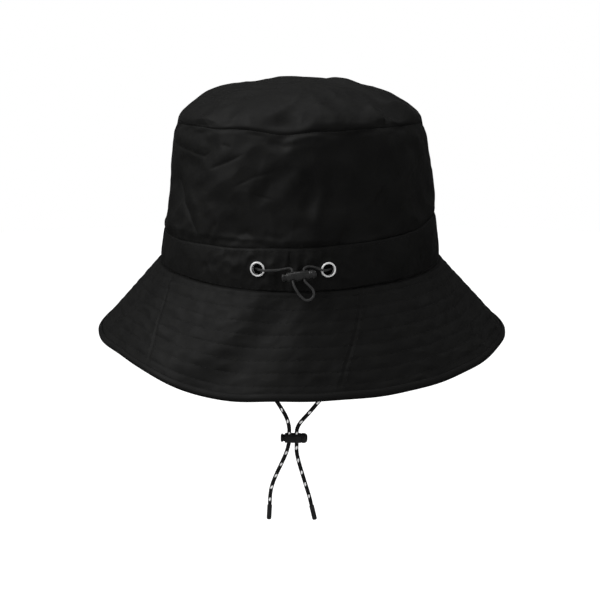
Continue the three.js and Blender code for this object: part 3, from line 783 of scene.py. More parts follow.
BACK_MIDDLE = -0.12  # the angle that the casing and the brim lean towards
CASING_ROWS = 44
CASING_COLUMNS = 900
EYELET_PLACE = (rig.box("eyelet_right")[0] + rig.box("eyelet_right")[1]) / 2
EYELET_ANGLE = math.atan2(EYELET_PLACE.x, -EYELET_PLACE.y - OVAL)
EYELET_HEIGHT = EYELET_PLACE.z
EYELET_HOLE = 3.95 * MM


# Dents of the casing: how far out in millimetres, width, and a line of millimetres round and up.
CASING_DENTS = [
    (-0.7, 2.6, [(-46, 15), (-38, 14), (-30, 17)]),
    (-0.5, 2.4, [(-64, 5), (-56, 8), (-48, 8)]),
    (-0.7, 2.8, [(36, 17), (44, 16), (52, 19)]),
]
CASING_CREASE = [(-0.8, 0.7, [(-2, 20), (-2, 15), (-1, 11)])]


def gathered(angle):
    """How strongly the drawcord gathers the casing: most in the middle of the back."""
    return 0.12 + 0.6 * bump(angle, 0, 0.5)


def casing_surface():
    """The casing's outer face from the seam with the brim, row 0, up to its top seam."""
    angle = angles_round(CASING_COLUMNS)[None, :]
    share = np.linspace(0, 1, CASING_ROWS)[:, None]
    top = casing_seam_height(angle)
    sag = bump(angle, BACK_MIDDLE, 0.6)  # the casing covers more of the brim in the middle of the back
    bottom = -2.3 * MM - 1.9 * MM * sag + 0.25 * MM * waves(angle, 0.0, 0.4, 8, 1.0)
    height = bottom + (top - bottom) * share
    full = np.sin(math.pi * np.clip(share * 0.93 + 0.07, 0, 1)) ** 0.55
    low_edge = CASING_HALF - 1.5 * MM + 1.3 * MM * sag
    high_edge = wall_radius(top) + 0.9 * MM
    radius = low_edge + (high_edge - low_edge) * share + 1.6 * MM * full
    middle = full * gathered(angle)
    pleats = 0.8 * waves(angle, height * 0.35, 0.009, 16, CASING_HALF)
    pleats += 0.6 * crumple(angle, height, 0.014, CASING_HALF)
    soft = 0.6 * waves(angle, height, 0.03, 10, CASING_HALF)
    out = (pleats * middle + soft * full) * MM
    out = out + folds(np.degrees(angle) * CASING_DEGREE, height / MM, MM, CASING_DENTS, CASING_CREASE)
    for side in (-1, 1):
        near = np.hypot((angle - side * EYELET_ANGLE) * CASING_HALF, height - EYELET_HEIGHT)
        flat = smoothstep(4.2 * MM, 8 * MM, near)
        out = out * flat - 0.5 * MM * bump(near, 6.5 * MM, 2 * MM)
    return angle + 0 * height, height, oval_point(radius + out, angle, height)


# ---- Brim -------------------------------------------------------------------------------------------

BRIM_MIDDLE = 1.25 * BRIM_HALF  # a radius half way out, which turns angles into lengths
BRIM_EDGE = 135 * MM
BRIM_ROWS = 150
BRIM_COLUMNS = 760
LAYER_GAP = 2.2 * MM  # from the brim's upper face to its lower one
FILLER_START = 7 * MM  # the filler stops short of the seam with the crown
STITCH_ROWS = 8
STITCH_SAMPLES = 1400
STITCH_PITCH = 7.4 * MM
FIRST_STITCH_ROW = 7.5 * MM
LEFT_SEAM = [(-57, 0), (-51, 20), (-48, 37), (-45, 52), (-43, 67)]  # degrees round, millimetres along
RIGHT_SEAM = [(26, 0), (21, 25), (15.5, 48), (12, 67)]


def brim_slope(angle):
    return SIDE_SLOPE + (BACK_SLOPE - SIDE_SLOPE) * np.maximum(np.cos(angle), 0) ** 1.5


def brim_point(angle, along, out):
    """A point of the brim: along the cloth from its inner seam, and out from the CAD's upper face."""
    slope = brim_slope(angle)
    longer = 0.045 * bump(angle, -0.36, 0.36) + 0.03 * bump(angle, 0.5, 0.4)
    shorter = 0.07 * bump(angle, -0.98, 0.34)
    along = along * (1 + longer - shorter)
    radius = BRIM_HALF + along * np.cos(slope) + out * np.sin(slope)
    return oval_point(radius, angle, BRIM_START_Z - along * np.sin(slope) + out * np.cos(slope))


# Folds of the brim's drape: how far out in millimetres, width, and a line of millimetres round and along.
BRIM_FOLDS = [
    (1.9, 13, [(-16, -16), (-24, 10), (-34, 30), (-52, 47), (-74, 64), (-96, 84)]),
    (-1.6, 11, [(2, -14), (-14, 22), (-28, 44), (-48, 66), (-62, 84)]),
    (1.1, 14, [(-6, 90), (-14, 62), (-6, 44), (20, 30)]),
    (1.4, 4.5, [(-142, 62), (-128, 46), (-115, 31), (-95, 21)]),
    (-1.1, 7, [(-150, 52), (-132, 34), (-112, 18)]),
    (1.8, 7, [(162, 22), (160, 34), (152, 48), (149, 72)]),
    (-1.4, 12, [(136, 20), (134, 40), (128, 70)]),
    (1.0, 16, [(60, 10), (66, 36), (80, 70)]),
    (1.2, 18, [(230, -4), (250, 30), (256, 74)]),
    (-1.2, 16, [(-246, 0), (-262, 30), (-268, 74)]),
]


def brim_drape(angle, along):
    """The brim's own undulation, shared by all its layers, in metres outwards."""
    share = along / BRIM_WIDTH
    out = 1.3 * share * np.sin(2 * angle + 0.7) + 0.9 * share * np.sin(5 * angle - 0.6)
    out += folds(np.degrees(angle) * BRIM_DEGREE, along / MM, 1, BRIM_FOLDS)
    return out * MM * smoothstep(0, 14 * MM, along)


def brim_puckers(along, quilting):
    """Fine quilting between the rows of stitches, in metres outwards."""
    phase = (along - FIRST_STITCH_ROW) / STITCH_PITCH
    inside = smoothstep(2 * MM, 5 * MM, along) * smoothstep(BRIM_WIDTH - 3 * MM, BRIM_WIDTH - 6 * MM, along)
    puff = np.abs(np.sin(math.pi * phase)) ** 0.6
    return (0.26 * puff - 0.2 + quilting * puff * 0.2) * MM * inside


def seam_lines(angle, along):
    """The two slanting seams of the brim: a sharp groove with a low ridge of seam allowance."""
    grooves = []
    for seam in (LEFT_SEAM, RIGHT_SEAM):
        line = [(degrees * SEAM_DEGREE, row) for degrees, row in seam]
        grooves += [(-0.55, 0.8, line), (0.25, 4.5, line)]
    return folds(np.degrees(angle) * SEAM_DEGREE, along / MM, MM, grooves)


def brim_surfaces():
    """The brim's grid of angle and along, its drape, and the points of its upper and lower face."""
    angle, along = np.meshgrid(angles_round(BRIM_COLUMNS), np.linspace(BRIM_WIDTH - CLOTH, 0, BRIM_ROWS))
    fine = waves(angle, along, 0.011, 18, BRIM_MIDDLE)
    crinkle = crumple(angle, along, 0.02, BRIM_MIDDLE)
    drape = brim_drape(angle, along)
    upper = drape + brim_puckers(along, fine) + seam_lines(angle, along)
    upper += 0.14 * MM * crinkle * smoothstep(0, 8 * MM, along)
    tuck = (4 + 2 * bump(angle, BACK_MIDDLE, 0.6)) * MM  # this much of the cloth dips under the casing
    lift = 2.0 * MM * smoothstep(tuck, 0.35 * tuck, along)
    upper_points = brim_point(angle, along, upper - lift)
    lower = drape - LAYER_GAP - brim_puckers(along, -fine) * 0.8
    return angle, along, drape, upper_points, brim_point(angle, along, lower)


class Surface:
    """A grid of points that can be asked for a place and a normal at any angle and row position."""

    def __init__(self, points, low, high):
        self.points = points
        self.normals = normals_of(points, True)
        self.low, self.high = low, high

    def at(self, angle, position):
        rows, columns = self.points.shape[:2]
        share = np.clip((position - self.low) / (self.high - self.low), 0, 1) + 0 * angle
        column = ((angle + math.pi) / (2 * math.pi) * columns) % columns
        return [sampled(field, share * (rows - 1), column, True) for field in (self.points, self.normals)]


def stitch_mesh(name, routes, material, length=2.6, gap=1.1, thickness=0.28, sink=0.05):
    """Rows of short stitches lying along routes, each route given as (points, normals). Millimetres."""
    turn = 2 * math.pi * np.arange(6) / 6
    share, wide = np.array([(-0.5, 0.15), (-0.42, 0.75), (0.0, 1.0), (0.42, 0.75), (0.5, 0.15)]).T
    lift = (thickness * 0.35 - sink - thickness * 0.5 * (2 * share) ** 2) * MM
    stitches = []
    for points, normals in routes:
        lengths = route_lengths(points)
        count = max(1, round(lengths[-1] / ((length + gap) * MM)))
        pitch = lengths[-1] / count
        middle = (np.arange(count) + 0.5) * pitch
        centre, ahead, behind, up = (
            np.stack([np.interp(middle + shift, lengths, field[:, k]) for k in range(3)], axis=-1)
            for field, shift in ((points, 0), (points, MM / 2), (points, -MM / 2), (normals, 0))
        )
        forward = unit(ahead - behind)
        side = unit(np.cross(up, forward))
        up = np.cross(forward, side)
        body = pitch * length / (length + gap)
        hub = centre[:, None] + forward[:, None] * (share * body)[:, None] + up[:, None] * lift[:, None]
        spoke = side[:, None] * np.cos(turn)[:, None] + up[:, None] * np.sin(turn)[:, None]
        stitches.append(hub[:, :, None] + spoke[:, None] * (thickness / 2 * MM * wide)[:, None, None])
    points = np.concatenate(stitches)
    one = grid_faces(5, 6, True) + [[5, 4, 3, 2, 1, 0], list(range(24, 30))]
    faces = [[30 * index + corner for corner in face] for index in range(len(points)) for face in one]
    return new_piece(name, points, faces, material)


# ---- Materials --------------------------------------------------------------------------------------


class Finish:
    """A procedural material under construction: its nodes, its links and its one shader."""

    def __init__(self, name, colour, roughness, metallic=0.0, **inputs):
        self.material = bpy.data.materials.new(name)
        self.material.use_nodes = True
        self.tree = self.material.node_tree
        self.shader = self.tree.nodes["Principled BSDF"]
        self.shader.inputs["Metallic"].default_value = metallic
        for socket, value in inputs.items():
            self.shader.inputs[socket].default_value = value
        self.colour, self.roughness = colour, roughness
        self.height = None

    def node(self, kind, settings=None, **inputs):
        made = self.tree.nodes.new("ShaderNode" + kind)
        for name, value in (settings or {}).items():
            setattr(made, name, value)
        for name, value in inputs.items():
            socket = made.inputs[name.replace("_", " ")]
            if isinstance(value, bpy.types.NodeSocket):
                self.tree.links.new(value, socket)
            else:
                socket.default_value = value
        return made

    def noise(self, scale, detail):
        """Noise whose features are about 1 / scale across, in metres."""
        place = self.node("TexCoord").outputs["Object"]
        return self.node("TexNoise", Vector=place, Scale=scale, Detail=detail).outputs["Fac"]

    def between(self, share, low, high):
        """A number that runs from low to high as a noise runs through its middle range."""
        mapped = self.node("MapRange", Value=share, From_Min=0.3, From_Max=0.7, To_Min=low, To_Max=high)
        return mapped.outputs["Result"]

    def tint(self, share, low, high):
        """The shader's colour, from low to high times the material's own."""
        ramp = self.node("ValToRGB", Fac=share)
        for stop, place, factor in zip(ramp.color_ramp.elements, (0.3, 0.7), (low, high)):
            stop.position = place
            stop.color = (*(factor * part for part in self.colour), 1)
        self.tree.links.new(ramp.outputs["Color"], self.shader.inputs["Base Color"])

    def wear(self, share, spread):
        """Roughness that varies by spread to each side of the material's own."""
        value = self.between(share, self.roughness - spread, self.roughness + spread)
        self.tree.links.new(value, self.shader.inputs["Roughness"])

    def bump(self, share, depth, strength=1.0):
        """Adds a bump of a given depth in metres on top of the bumps before it."""
        made = self.node("Bump", Height=share, Distance=depth, Strength=strength)
        if self.height:
            self.tree.links.new(self.height, made.inputs["Normal"])
        self.height = made.outputs["Normal"]
        self.tree.links.new(self.height, self.shader.inputs["Normal"])

    def bands(self, axis, pitch):
        """Fine ridges across an axis, pitch apart in UV centimetres."""
        place = self.node("TexCoord").outputs["UV"]
        settings = {"wave_type": "BANDS", "bands_direction": axis}
        wave = self.node("TexWave", settings, Vector=place, Scale=math.pi / 10 / pitch, Distortion=0.6)
        return wave.outputs["Fac"]

    def weave(self, pitch, depth):
        """Warp and weft ridges, pitch apart in UV centimetres."""
        crossed = self.node("Math", {"operation": "MAXIMUM"})
        for axis, socket in zip("XY", crossed.inputs):
            self.tree.links.new(self.bands(axis, pitch), socket)
        self.bump(crossed.outputs[0], depth)


def cloth_finish(name, colour, roughness, pitch, depth, **inputs):
    finish = Finish(name, colour, roughness, **inputs)
    finish.tint(finish.noise(45, 5), 0.82, 1.2)
    finish.wear(finish.noise(120, 3), 0.06)
    finish.bump(finish.noise(160, 3), 0.35 * MM, 0.35)
    finish.weave(pitch, depth)
    return finish.material


def plain_finish(name, colour, roughness, shades, colour_noise, wear_noise, wear, grain, **inputs):
    """Plastic, metal or yarn. A noise is (scale, detail); a grain is a noise, its depth and strength."""
    finish = Finish(name, colour, roughness, **inputs)
    finish.tint(finish.noise(*colour_noise), *shades)
    finish.wear(finish.noise(*wear_noise), wear)
    finish.bump(finish.noise(*grain[0]), *grain[1:])
    return finish.material


def plastic_finish(name, colour, roughness):
    grain = ((2500, 3), 0.04 * MM, 0.5)
    return plain_finish(name, colour, roughness, (0.85, 1.2), (300, 3), (500, 4), 0.07, grain)


def metal_finish(name, colour, roughness, metallic=1.0):
    grain = ((1500, 4), 0.03 * MM, 0.4)
    return plain_finish(
        name, colour, roughness, (0.85, 1.1), (400, 4), (900, 4), 0.08, grain, metallic=metallic
    )


def braid_finish(name, colour, roughness):
    grain = ((3500, 2), 0.06 * MM, 0.7)
    dull = {"Specular IOR Level": 0.3}
    return plain_finish(name, colour, roughness, (0.7, 1.4), (900, 3), (700, 3), 0.06, grain, **dull)


SHEEN = {"Sheen Weight": 0.012, "Sheen Roughness": 0.4, "Specular IOR Level": 0.26}
NYLON = cloth_finish("shell_nylon", (0.0038, 0.0038, 0.0034), 0.66, 0.05, 0.03 * MM, **SHEEN)
LINING = cloth_finish("lining_cloth", (0.006, 0.006, 0.006), 0.65, 0.04, 0.03 * MM, **SHEEN)
FILLER = cloth_finish("interlining_felt", (0.3, 0.3, 0.28), 0.9, 0.12, 0.08 * MM)
TAPE = cloth_finish("binding_tape", (0.0036, 0.0036, 0.0033), 0.65, 0.06, 0.05 * MM, **SHEEN)
WEBBING = cloth_finish("webbing", (0.011, 0.011, 0.012), 0.7, 0.09, 0.12 * MM)
LABEL = cloth_finish("label_cloth", (0.26, 0.27, 0.29), 0.8, 0.04, 0.04 * MM)
THREAD = braid_finish("sewing_thread", (0.004, 0.004, 0.004), 0.5)
BRAID = braid_finish("braided_cord", (0.007, 0.007, 0.0075), 0.65)
FLECK = braid_finish("fleck_yarn", (0.62, 0.62, 0.62), 0.6)
DRAW_BRAID = braid_finish("drawcord_braid", (0.022, 0.022, 0.022), 0.45)
PLASTIC = plastic_finish("lock_plastic", (0.012, 0.012, 0.013), 0.38)
LOCK_GREY = plastic_finish("back_lock_plastic", (0.016, 0.016, 0.016), 0.3)
TIP_PLASTIC = plastic_finish("tip_plastic", (0.014, 0.014, 0.015), 0.35)
STEEL = metal_finish("eyelet_steel", (0.72, 0.72, 0.72), 0.35, metallic=0.35)
SPRING = metal_finish("spring_steel", (0.5, 0.5, 0.52), 0.35)
# Dark metal of the snaps and hook, also used as painted shade inside the eyelets' barrels.
DARK_METAL_AND_SHADE = metal_finish("dark_metal", (0.09, 0.09, 0.1), 0.32)


# ---- Crown pieces -----------------------------------------------------------------------------------


def sewn(piece, body, slot, *nodes):
    """Puts a piece on its body, in the record's slot, in place of its CAD nodes."""
    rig.ride(piece, body)
    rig.slot(piece, slot)
    if nodes:
        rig.replaces(piece, *nodes)
    return piece


def sheet(name, points, u, v, thickness, materials, closed=False, offset=-1.0, flipped=False, holes=()):
    """A sheet of cloth over a grid of points, with UVs in centimetres of cloth from u and v in metres."""
    faces = grid_faces(*points.shape[:2], closed)
    if flipped:
        faces = [face[::-1] for face in faces]
    piece = new_piece(name, points, faces, materials)
    add_uv(piece, u * 100, v * 100)
    for centre in holes:
        open_hole(piece, centre, EYELET_HOLE)
    solidify(piece, thickness, offset, lined=len(materials) > 1)
    return piece


def add_crown():
    angle, height, points = wall_surface()
    wall = sheet("crown_wall", points, angle * WALL_HALF, height, SHELL, [NYLON, LINING], closed=True)
    sewn(wall, "hat", "shell_nylon", "crown_side_back", "crown_side_front")
    points = tip_surface()
    tip = sheet("crown_tip", points, points[..., 0], points[..., 1], SHELL, [NYLON, LINING])
    sewn(tip, "hat", "shell_nylon", "crown_top")


def open_hole(piece, centre, radius):
    """Removes the cloth within a radius of a point. An eyelet's rim covers the hole's edge."""
    with mesh_edit(piece) as mesh:
        inside = [face for face in mesh.faces if (face.calc_center_median() - centre).length < radius]
        bmesh.ops.delete(mesh, geom=inside, context="FACES")


def add_casing():
    angle, height, points = casing_surface()
    eyelets = [sum(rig.box(f"eyelet_{word}"), Vector()) / 2 for word in ("left", "right")]
    u = angle * CASING_HALF
    casing = sheet("casing", points, u, height, 0.7 * MM, [NYLON], closed=True, holes=eyelets)
    sewn(casing, "hat", "shell_nylon", "casing_band")
    return Surface(points, 0, 1)


def add_brim():
    angle, along, drape, upper, lower = brim_surfaces()
    edge_drape = drape[0]
    u = angle * BRIM_MIDDLE
    top = sheet("brim_upper", upper, u, -along, CLOTH, [NYLON], closed=True)
    sewn(top, "hat", "shell_nylon", "brim_top_back", "brim_top_front")
    under = sheet("brim_lower", lower, u, -along, CLOTH, [NYLON], closed=True, flipped=True)
    sewn(under, "hat", "shell_nylon", "brim_under_back", "brim_under_front")

    inner = along[:, 0] > FILLER_START
    angle, along, drape = (grid[inner][::5, ::5] for grid in (angle, along, drape))
    points = brim_point(angle, along, drape - 1.0 * MM)
    filler = sheet("brim_filler", points, angle * BRIM_HALF, -along, 0.6 * MM, [FILLER], closed=True)
    sewn(filler, "hat", "interlining", "brim_interlining")
    return Surface(upper, BRIM_WIDTH - CLOTH, 0.0), Surface(lower, BRIM_WIDTH - CLOTH, 0.0), edge_drape


def add_binding(edge):
    """The tape folded over the brim's edge, a U in section, that follows the brim's undulation."""
    angle = angles_round(BRIM_COLUMNS)
    start = BRIM_WIDTH - 3.6 * MM
    outside = [(0, 0.35), (0.5, 0.8), (2.4, 0.85), (3.6, 0.6), (4.2, 0.0)]
    section = outside + [(4.35, -1.1)] + [(along, -2.2 - out) for along, out in reversed(outside)]
    section += [(0.3, -2.3), (3.3, -2.2), (3.5, -1.1), (3.3, 0.0), (0.3, 0.1)]
    wander = 0.25 * MM * waves(angle, 0.0, 0.03, 10, 1.4 * BRIM_HALF)
    points = [brim_point(angle, start + along * MM + wander, edge + out * MM) for along, out in section]
    faces = grid_faces(len(section), BRIM_COLUMNS, True, closed_columns=True)
    binding = new_piece("brim_binding", points, [face[::-1] for face in faces], [TAPE])
    add_uv(binding, *np.meshgrid(angle * BRIM_EDGE * 100, np.arange(len(section)) * 0.1))
    sewn(binding, "hat", "shell_nylon", "brim_edge_binding")


def add_sweatband():
    angle, height = np.meshgrid(angles_round(480), np.linspace(0.8, 31.6, 26) * MM)
    lean = 2.4 * MM * smoothstep(12 * MM, 30 * MM, height)
    radius = WALL_HALF - 1.15 * MM - lean - 0.25 * MM * np.abs(waves(angle, height, 0.02, 12, WALL_HALF))
    points = oval_point(radius, angle, height)
    band = sheet("sweatband_cloth", points, angle * WALL_HALF, height, 0.8 * MM, [LINING], closed=True)
    sewn(band, "hat", "lining", "sweatband")


# ---- Stitching --------------------------------------------------------------------------------------


def add_stitching(casing, brim_upper, brim_lower):
    around = np.linspace(-math.pi, math.pi, STITCH_SAMPLES)
    quilting = FIRST_STITCH_ROW + STITCH_PITCH * np.arange(STITCH_ROWS)
    routes = [brim_upper.at(around, along) for along in quilting]
    rows = np.linspace(2 * MM, BRIM_WIDTH - 5 * MM, 80)
    for seam in (LEFT_SEAM, RIGHT_SEAM):
        degrees = np.interp(rows / MM, [row for _, row in seam], [degree for degree, _ in seam])
        for shift in (-1.1, 1.1):
            routes.append(brim_upper.at(np.radians(degrees + shift), rows))
    sewn(stitch_mesh("brim_stitching", routes, THREAD), "hat", "shell_nylon")

    under = [brim_lower.at(around, along) for along in quilting]
    under = [(points, -normals) for points, normals in under]
    sewn(stitch_mesh("brim_under_stitching", under, THREAD), "hat", "shell_nylon")

    casing_rows = [casing.at(around, 0.93), casing.at(around, 0.045)]
    sewn(stitch_mesh("casing_stitching", casing_rows, THREAD, thickness=0.3), "hat", "shell_nylon")


# ---- Eyelets, cords and locks -----------------------------------------------------------------------


def place(points, centre, axis):
    """Moves points made along Z so that Z becomes axis, at centre."""
    turn = Vector((0, 0, 1)).rotation_difference(Vector(axis)).to_matrix()
    return np.asarray(points) @ np.array(turn).T + np.array(centre)


def add_eyelets():
    outline = [(3.4, 0.5), (3.5, 0.8), (3.7, 1.0), (4.05, 1.0), (4.35, 0.75), (4.5, 0.35)]
    outline = [(3.4, -1.7), (3.6, -1.7), (3.6, 0.3), (4.5, 0.3)] + outline[::-1]
    points, _ = revolve(np.array(outline) * MM, 48)
    faces = grid_faces(len(outline), 48, True, closed_columns=True)
    for side, word in ((-1, "left"), (1, "right")):
        low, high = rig.box(f"eyelet_{word}")
        centre = (low + high) / 2
        facing = Vector((side * 0.254, -0.967, 0)).normalized()
        middle = np.array(centre) + np.array(facing) * 0.35 * MM
        ring = new_piece(f"eyelet_ring_{word}", place(points, middle, facing), faces, [STEEL, DARK_METAL_AND_SHADE])
        for face in ring.data.polygons[-48:]:
            face.material_index = 1  # painted shade: the barrel's inside is the same steel, given the dark metal because it lies in shadow
        sewn(ring, "hat", "eyelet_metal", f"eyelet_{word}")


def braid_radius(route, radius, sides, strands, rise):
    """Radii of a braided cord: two families of strands that wind opposite ways, over and under."""
    along = route_lengths(route)[:, None] / radius
    turn = (2 * math.pi * np.arange(sides) / sides)[None, :]
    number = strands / 2
    one = np.abs(np.cos(0.5 * number * turn + 0.85 * along))
    other = np.abs(np.cos(0.5 * number * turn - 0.85 * along))
    return radius * (1 - rise + rise * np.maximum(one, other) ** 1.5)


FLECK_PITCH = 9.2  # millimetres along the cord


def fleck_faces(route, sides, start):
    """True for each face of a swept cord where its light yarn comes up, first of all towards the back."""
    _, first, second = route_frames(route)
    facing = np.arctan2(-second[:-1, 1], -first[:-1, 1])[:, None]
    turn = 2 * math.pi * (np.arange(sides)[None, :] + 0.5) / sides - facing
    across = np.mod(turn * 3 / (2 * math.pi) + 0.5, 1.0) - 0.5
    along = np.mod(route_lengths(route)[:-1, None] / MM + start, FLECK_PITCH) - FLECK_PITCH / 2
    return (((along - 2 * across) / 1.25) ** 2 + (across / 0.27) ** 2 < 1).ravel()


def add_braided_cord(name, points, first_fleck):
    route = smooth_route(np.array(points) * MM, 0.32 * MM)
    sides = 28
    radius = braid_radius(route, CHIN_CORD / 2, sides, 16, 0.11)
    cord = new_piece(name, *sweep(route, radius, sides), [BRAID, FLECK])
    flecks = fleck_faces(route, sides, first_fleck)
    index = np.zeros(len(cord.data.polygons), np.int32)
    index[: len(flecks)] = flecks
    cord.data.polygons.foreach_set("material_index", index)
    return cord, route


def split_route(points, height):
    """The points of a falling route above a height, and those below it, sharing one point there."""
    upper = [point for point in points if point[2] > height]
    lower = [point for point in points if point[2] <= height]
    before, after = np.array(upper[-1], float), np.array(lower[0], float)
    share = (before[2] - height) / (before[2] - after[2])
    middle = tuple(before + (after - before) * share)
    return upper + [middle], [middle] + lower


def add_chin_cords(lock_pieces):
    """Each strand from its tab to the lock, and its tail from the lock to its tip."""
    low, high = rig.box("chin_lock_barrel")
    lock_z = (low.z + high.z) / 2
    for side, route, strand_fleck, tail_fleck, with_strand in (
        ("left", CHIN_CORD_LEFT, 1.5, 3.0, lock_pieces),
        ("right", CHIN_CORD_RIGHT, 6.0, 7.0, []),
    ):
        upper, lower = split_route(route, lock_z / MM)
        strand, path = add_braided_cord(f"chin_cord_upper_{side}", upper, strand_fleck)
        tail, tail_path = add_braided_cord(f"chin_cord_tail_{side}", lower, tail_fleck)
        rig.blend(strand, "chin_cords", "chin_lock", start=(0, 0, -0.006), end=(0, 0, high.z + 2 * MM))
        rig.blend(tail, "chin_lock", "chin_cords", start=(0, 0, low.z - 2 * MM), end=(0, 0, -0.176))
        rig.replaces(strand, f"chin_cord_{side}")
        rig.slot(strand, "braid")
        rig.slot(tail, "braid")
        declare_cord(strand, path, CHIN_CORD, "object", 5, with_strand)
        declare_cord(tail, tail_path, CHIN_CORD, "fitting", 5, [add_cord_tip(side, tail_path)])


def add_cord_tip(side, path):
    """A crimped sleeve on the end of a cord, with a narrow neck and a cord end inside it."""
    direction = path[-1] - path[-3]
    direction /= np.linalg.norm(direction)
    outline = [(0.0, 0.3), (1.25, 0.3), (1.3, 0.5), (1.3, 1.1), (1.62, 1.4), (1.7, 1.8), (1.7, 10.8)]
    outline += [(1.66, 11.4), (1.5, 11.85), (1.1, 12.0), (0.0, 12.0)]
    profile = [(max(radius, 0.01) * MM, height * MM) for radius, height in outline]
    points, faces = revolve(profile, 40)
    tip = new_piece(f"cord_tip_{side}", place(points, path[-1], direction), faces, TIP_PLASTIC)
    with mesh_edit(tip) as mesh:
        bmesh.ops.holes_fill(mesh, edges=[edge for edge in mesh.edges if edge.is_boundary])
    tip.data.shade_smooth()
    return sewn(tip, "chin_cords", "lock_plastic", f"chin_cord_tip_{side}")


def drill(piece, centre, axis, radius, depth):
    """Cuts a round hole right through a piece."""
    bpy.ops.mesh.primitive_cylinder_add(vertices=40, radius=radius, depth=depth)
    tool = bpy.context.object
    turn = Vector((0, 0, 1)).rotation_difference(Vector(axis)).to_matrix().to_4x4()
    tool.matrix_world = Matrix.Translation(centre) @ turn
    modifier = piece.modifiers.new("hole", "BOOLEAN")
    modifier.operation = "DIFFERENCE"
    modifier.solver = "EXACT"
    modifier.object = tool
    bpy.context.view_layer.update()
    bake_modifiers(piece)
    bpy.data.objects.remove(tool)


def barrel_profile(length, radius, bore, ribs):
    """A cord lock's barrel: rounded ends, rings near its closed end and a bore from its open end."""
    half = length / 2
    outline = [(bore, -half + 0.3), (bore + 0.15, -half), (radius - 0.35, -half)]
    outline += [(radius - 0.08, -half + 0.2), (radius, -half + 0.6)]
    for rib in ribs:
        outline += [(radius, rib - 0.55), (radius - 0.28, rib - 0.3)]
        outline += [(radius - 0.28, rib + 0.3), (radius, rib + 0.55)]
    outline += [(radius, half - 2.2), (radius - 0.25, half - 1.3), (radius - 0.85, half - 0.5)]
    outline += [(radius - 1.6, half - 0.1), (radius - 2.2, half), (0.01, half)]
    outline += [(0.01, half - 1.2), (bore, half - 1.2)]
    return [(r * MM, z * MM) for r, z in outline]


def button_profile(length, radius, bore, stem_end):
    """A cord lock's button: a grooved head outside the barrel and a stem that reaches stem_end."""
    half = length / 2
    head = radius - 0.55
    outline = [(0.01, -2.9), (head - 0.9, -2.9), (head - 0.3, -2.7), (head, -2.2), (head, -1.95)]
    outline += [(head - 0.12, -1.85), (head, -1.75), (head, -1.5), (bore - 0.3, -1.45)]
    outline = [(r, z - half) for r, z in outline] + [(bore - 0.3, stem_end), (0.01, stem_end)]
    return [(r * MM, z * MM) for r, z in outline]


def turned(name, profile, centre, axis, material, closed):
    """A turned piece along an axis. A closed outline joins its last point to its first."""
    points, _ = revolve(profile, 56)
    faces = grid_faces(len(profile), 56, True, closed_columns=closed)
    piece = new_piece(name, place(points, centre, axis), faces, material)
    with mesh_edit(piece) as mesh:
        bmesh.ops.remove_doubles(mesh, verts=mesh.verts, dist=0.02 * MM)
        bmesh.ops.holes_fill(mesh, edges=[edge for edge in mesh.edges if edge.is_boundary])
        bmesh.ops.recalc_face_normals(mesh, faces=mesh.faces)
    return piece


SPRING_TURNS = 3
SPRING_WIRE = 0.22 * MM
SHARP_EDGE = math.radians(50)


def add_spring(name, body, centre, axis, start, end, radius):
    """The coil between a lock's stem and the floor of its bore. It shortens as the button goes in."""
    share = np.linspace(0, 1, 73)
    turn = 2 * math.pi * SPRING_TURNS * share
    coil = np.stack([radius * np.cos(turn), radius * np.sin(turn), start + (end - start) * share], axis=-1)
    route = place(coil * MM, centre, axis)
    spring = new_piece(f"{name}_coil", *sweep(route, SPRING_WIRE, 10), SPRING)
    ends = [centre + axis * (at * MM) for at in (start, end)]
    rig.blend(spring, f"{name}_button", body, start=ends[0], end=ends[1])
    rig.replaces(spring, f"{name}_spring")
    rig.slot(spring, "spring_steel")


def add_lock(name, body, centre, axis, hole_axis, length, radius, bore, holes, hole_radius, ribs, finish):
    """A cord lock: its barrel and its sprung button, with the cord holes drilled through both."""
    axis, hole_axis = Vector(axis).normalized(), Vector(hole_axis).normalized()
    centre = Vector(centre) * MM
    barrel = turned(f"{name}_body", barrel_profile(length, radius, bore, ribs), centre, axis, finish, True)
    stem_end = holes[1] + hole_radius + 1.6
    button = turned(
        f"{name}_plunger", button_profile(length, radius, bore, stem_end), centre, axis, finish, False
    )
    for hole in holes:
        at = centre + axis * (hole * MM)
        drill(barrel, at, hole_axis, hole_radius * MM, 4 * radius * MM)
        slot = at - axis * (0.7 * MM)
        drill(button, slot, hole_axis, (hole_radius + 0.7) * MM, 4 * radius * MM)
    for piece in (barrel, button):
        modifier = piece.modifiers.new("split", "EDGE_SPLIT")
        modifier.split_angle = SHARP_EDGE
        bake_modifiers(piece)
    sewn(barrel, body, "lock_plastic", f"{name}_barrel")
    sewn(button, f"{name}_button", "lock_plastic", f"{name}_button")
    add_spring(name, body, centre, axis, stem_end + 0.55, length / 2 - 1.75, bore - 0.65)
    return barrel, button


def add_drawcord(lock_pieces):
    route = smooth_route(np.array(DRAWCORD_LOOP) * MM, 0.22 * MM)
    sides = 20
    radius = braid_radius(route, DRAWCORD / 2, sides, 12, 0.09)
    loop = new_piece("drawcord", *sweep(route, radius, sides), DRAW_BRAID)
    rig.blend(loop, "hat", "back_lock", start=(0, -0.098, 0.0095), end=(0, -0.1038, 0.009))
    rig.replaces(loop, "drawcord_loop")
    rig.slot(loop, "braid")
    declare_cord(loop, route, DRAWCORD, "object", 4, lock_pieces)


def declare_cord(piece, route, diameter, far_end, step, with_pieces):
    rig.cord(
        piece,
        exit=tuple(route[0]),
        length=round(float(route_lengths(route)[-1]), 4),
        diameter=diameter,
        far_end=far_end,
        stiffness="limp",
        lay="hanging",
        path=route[::step].tolist() + [route[-1].tolist()],
        with_pieces=with_pieces,
    )


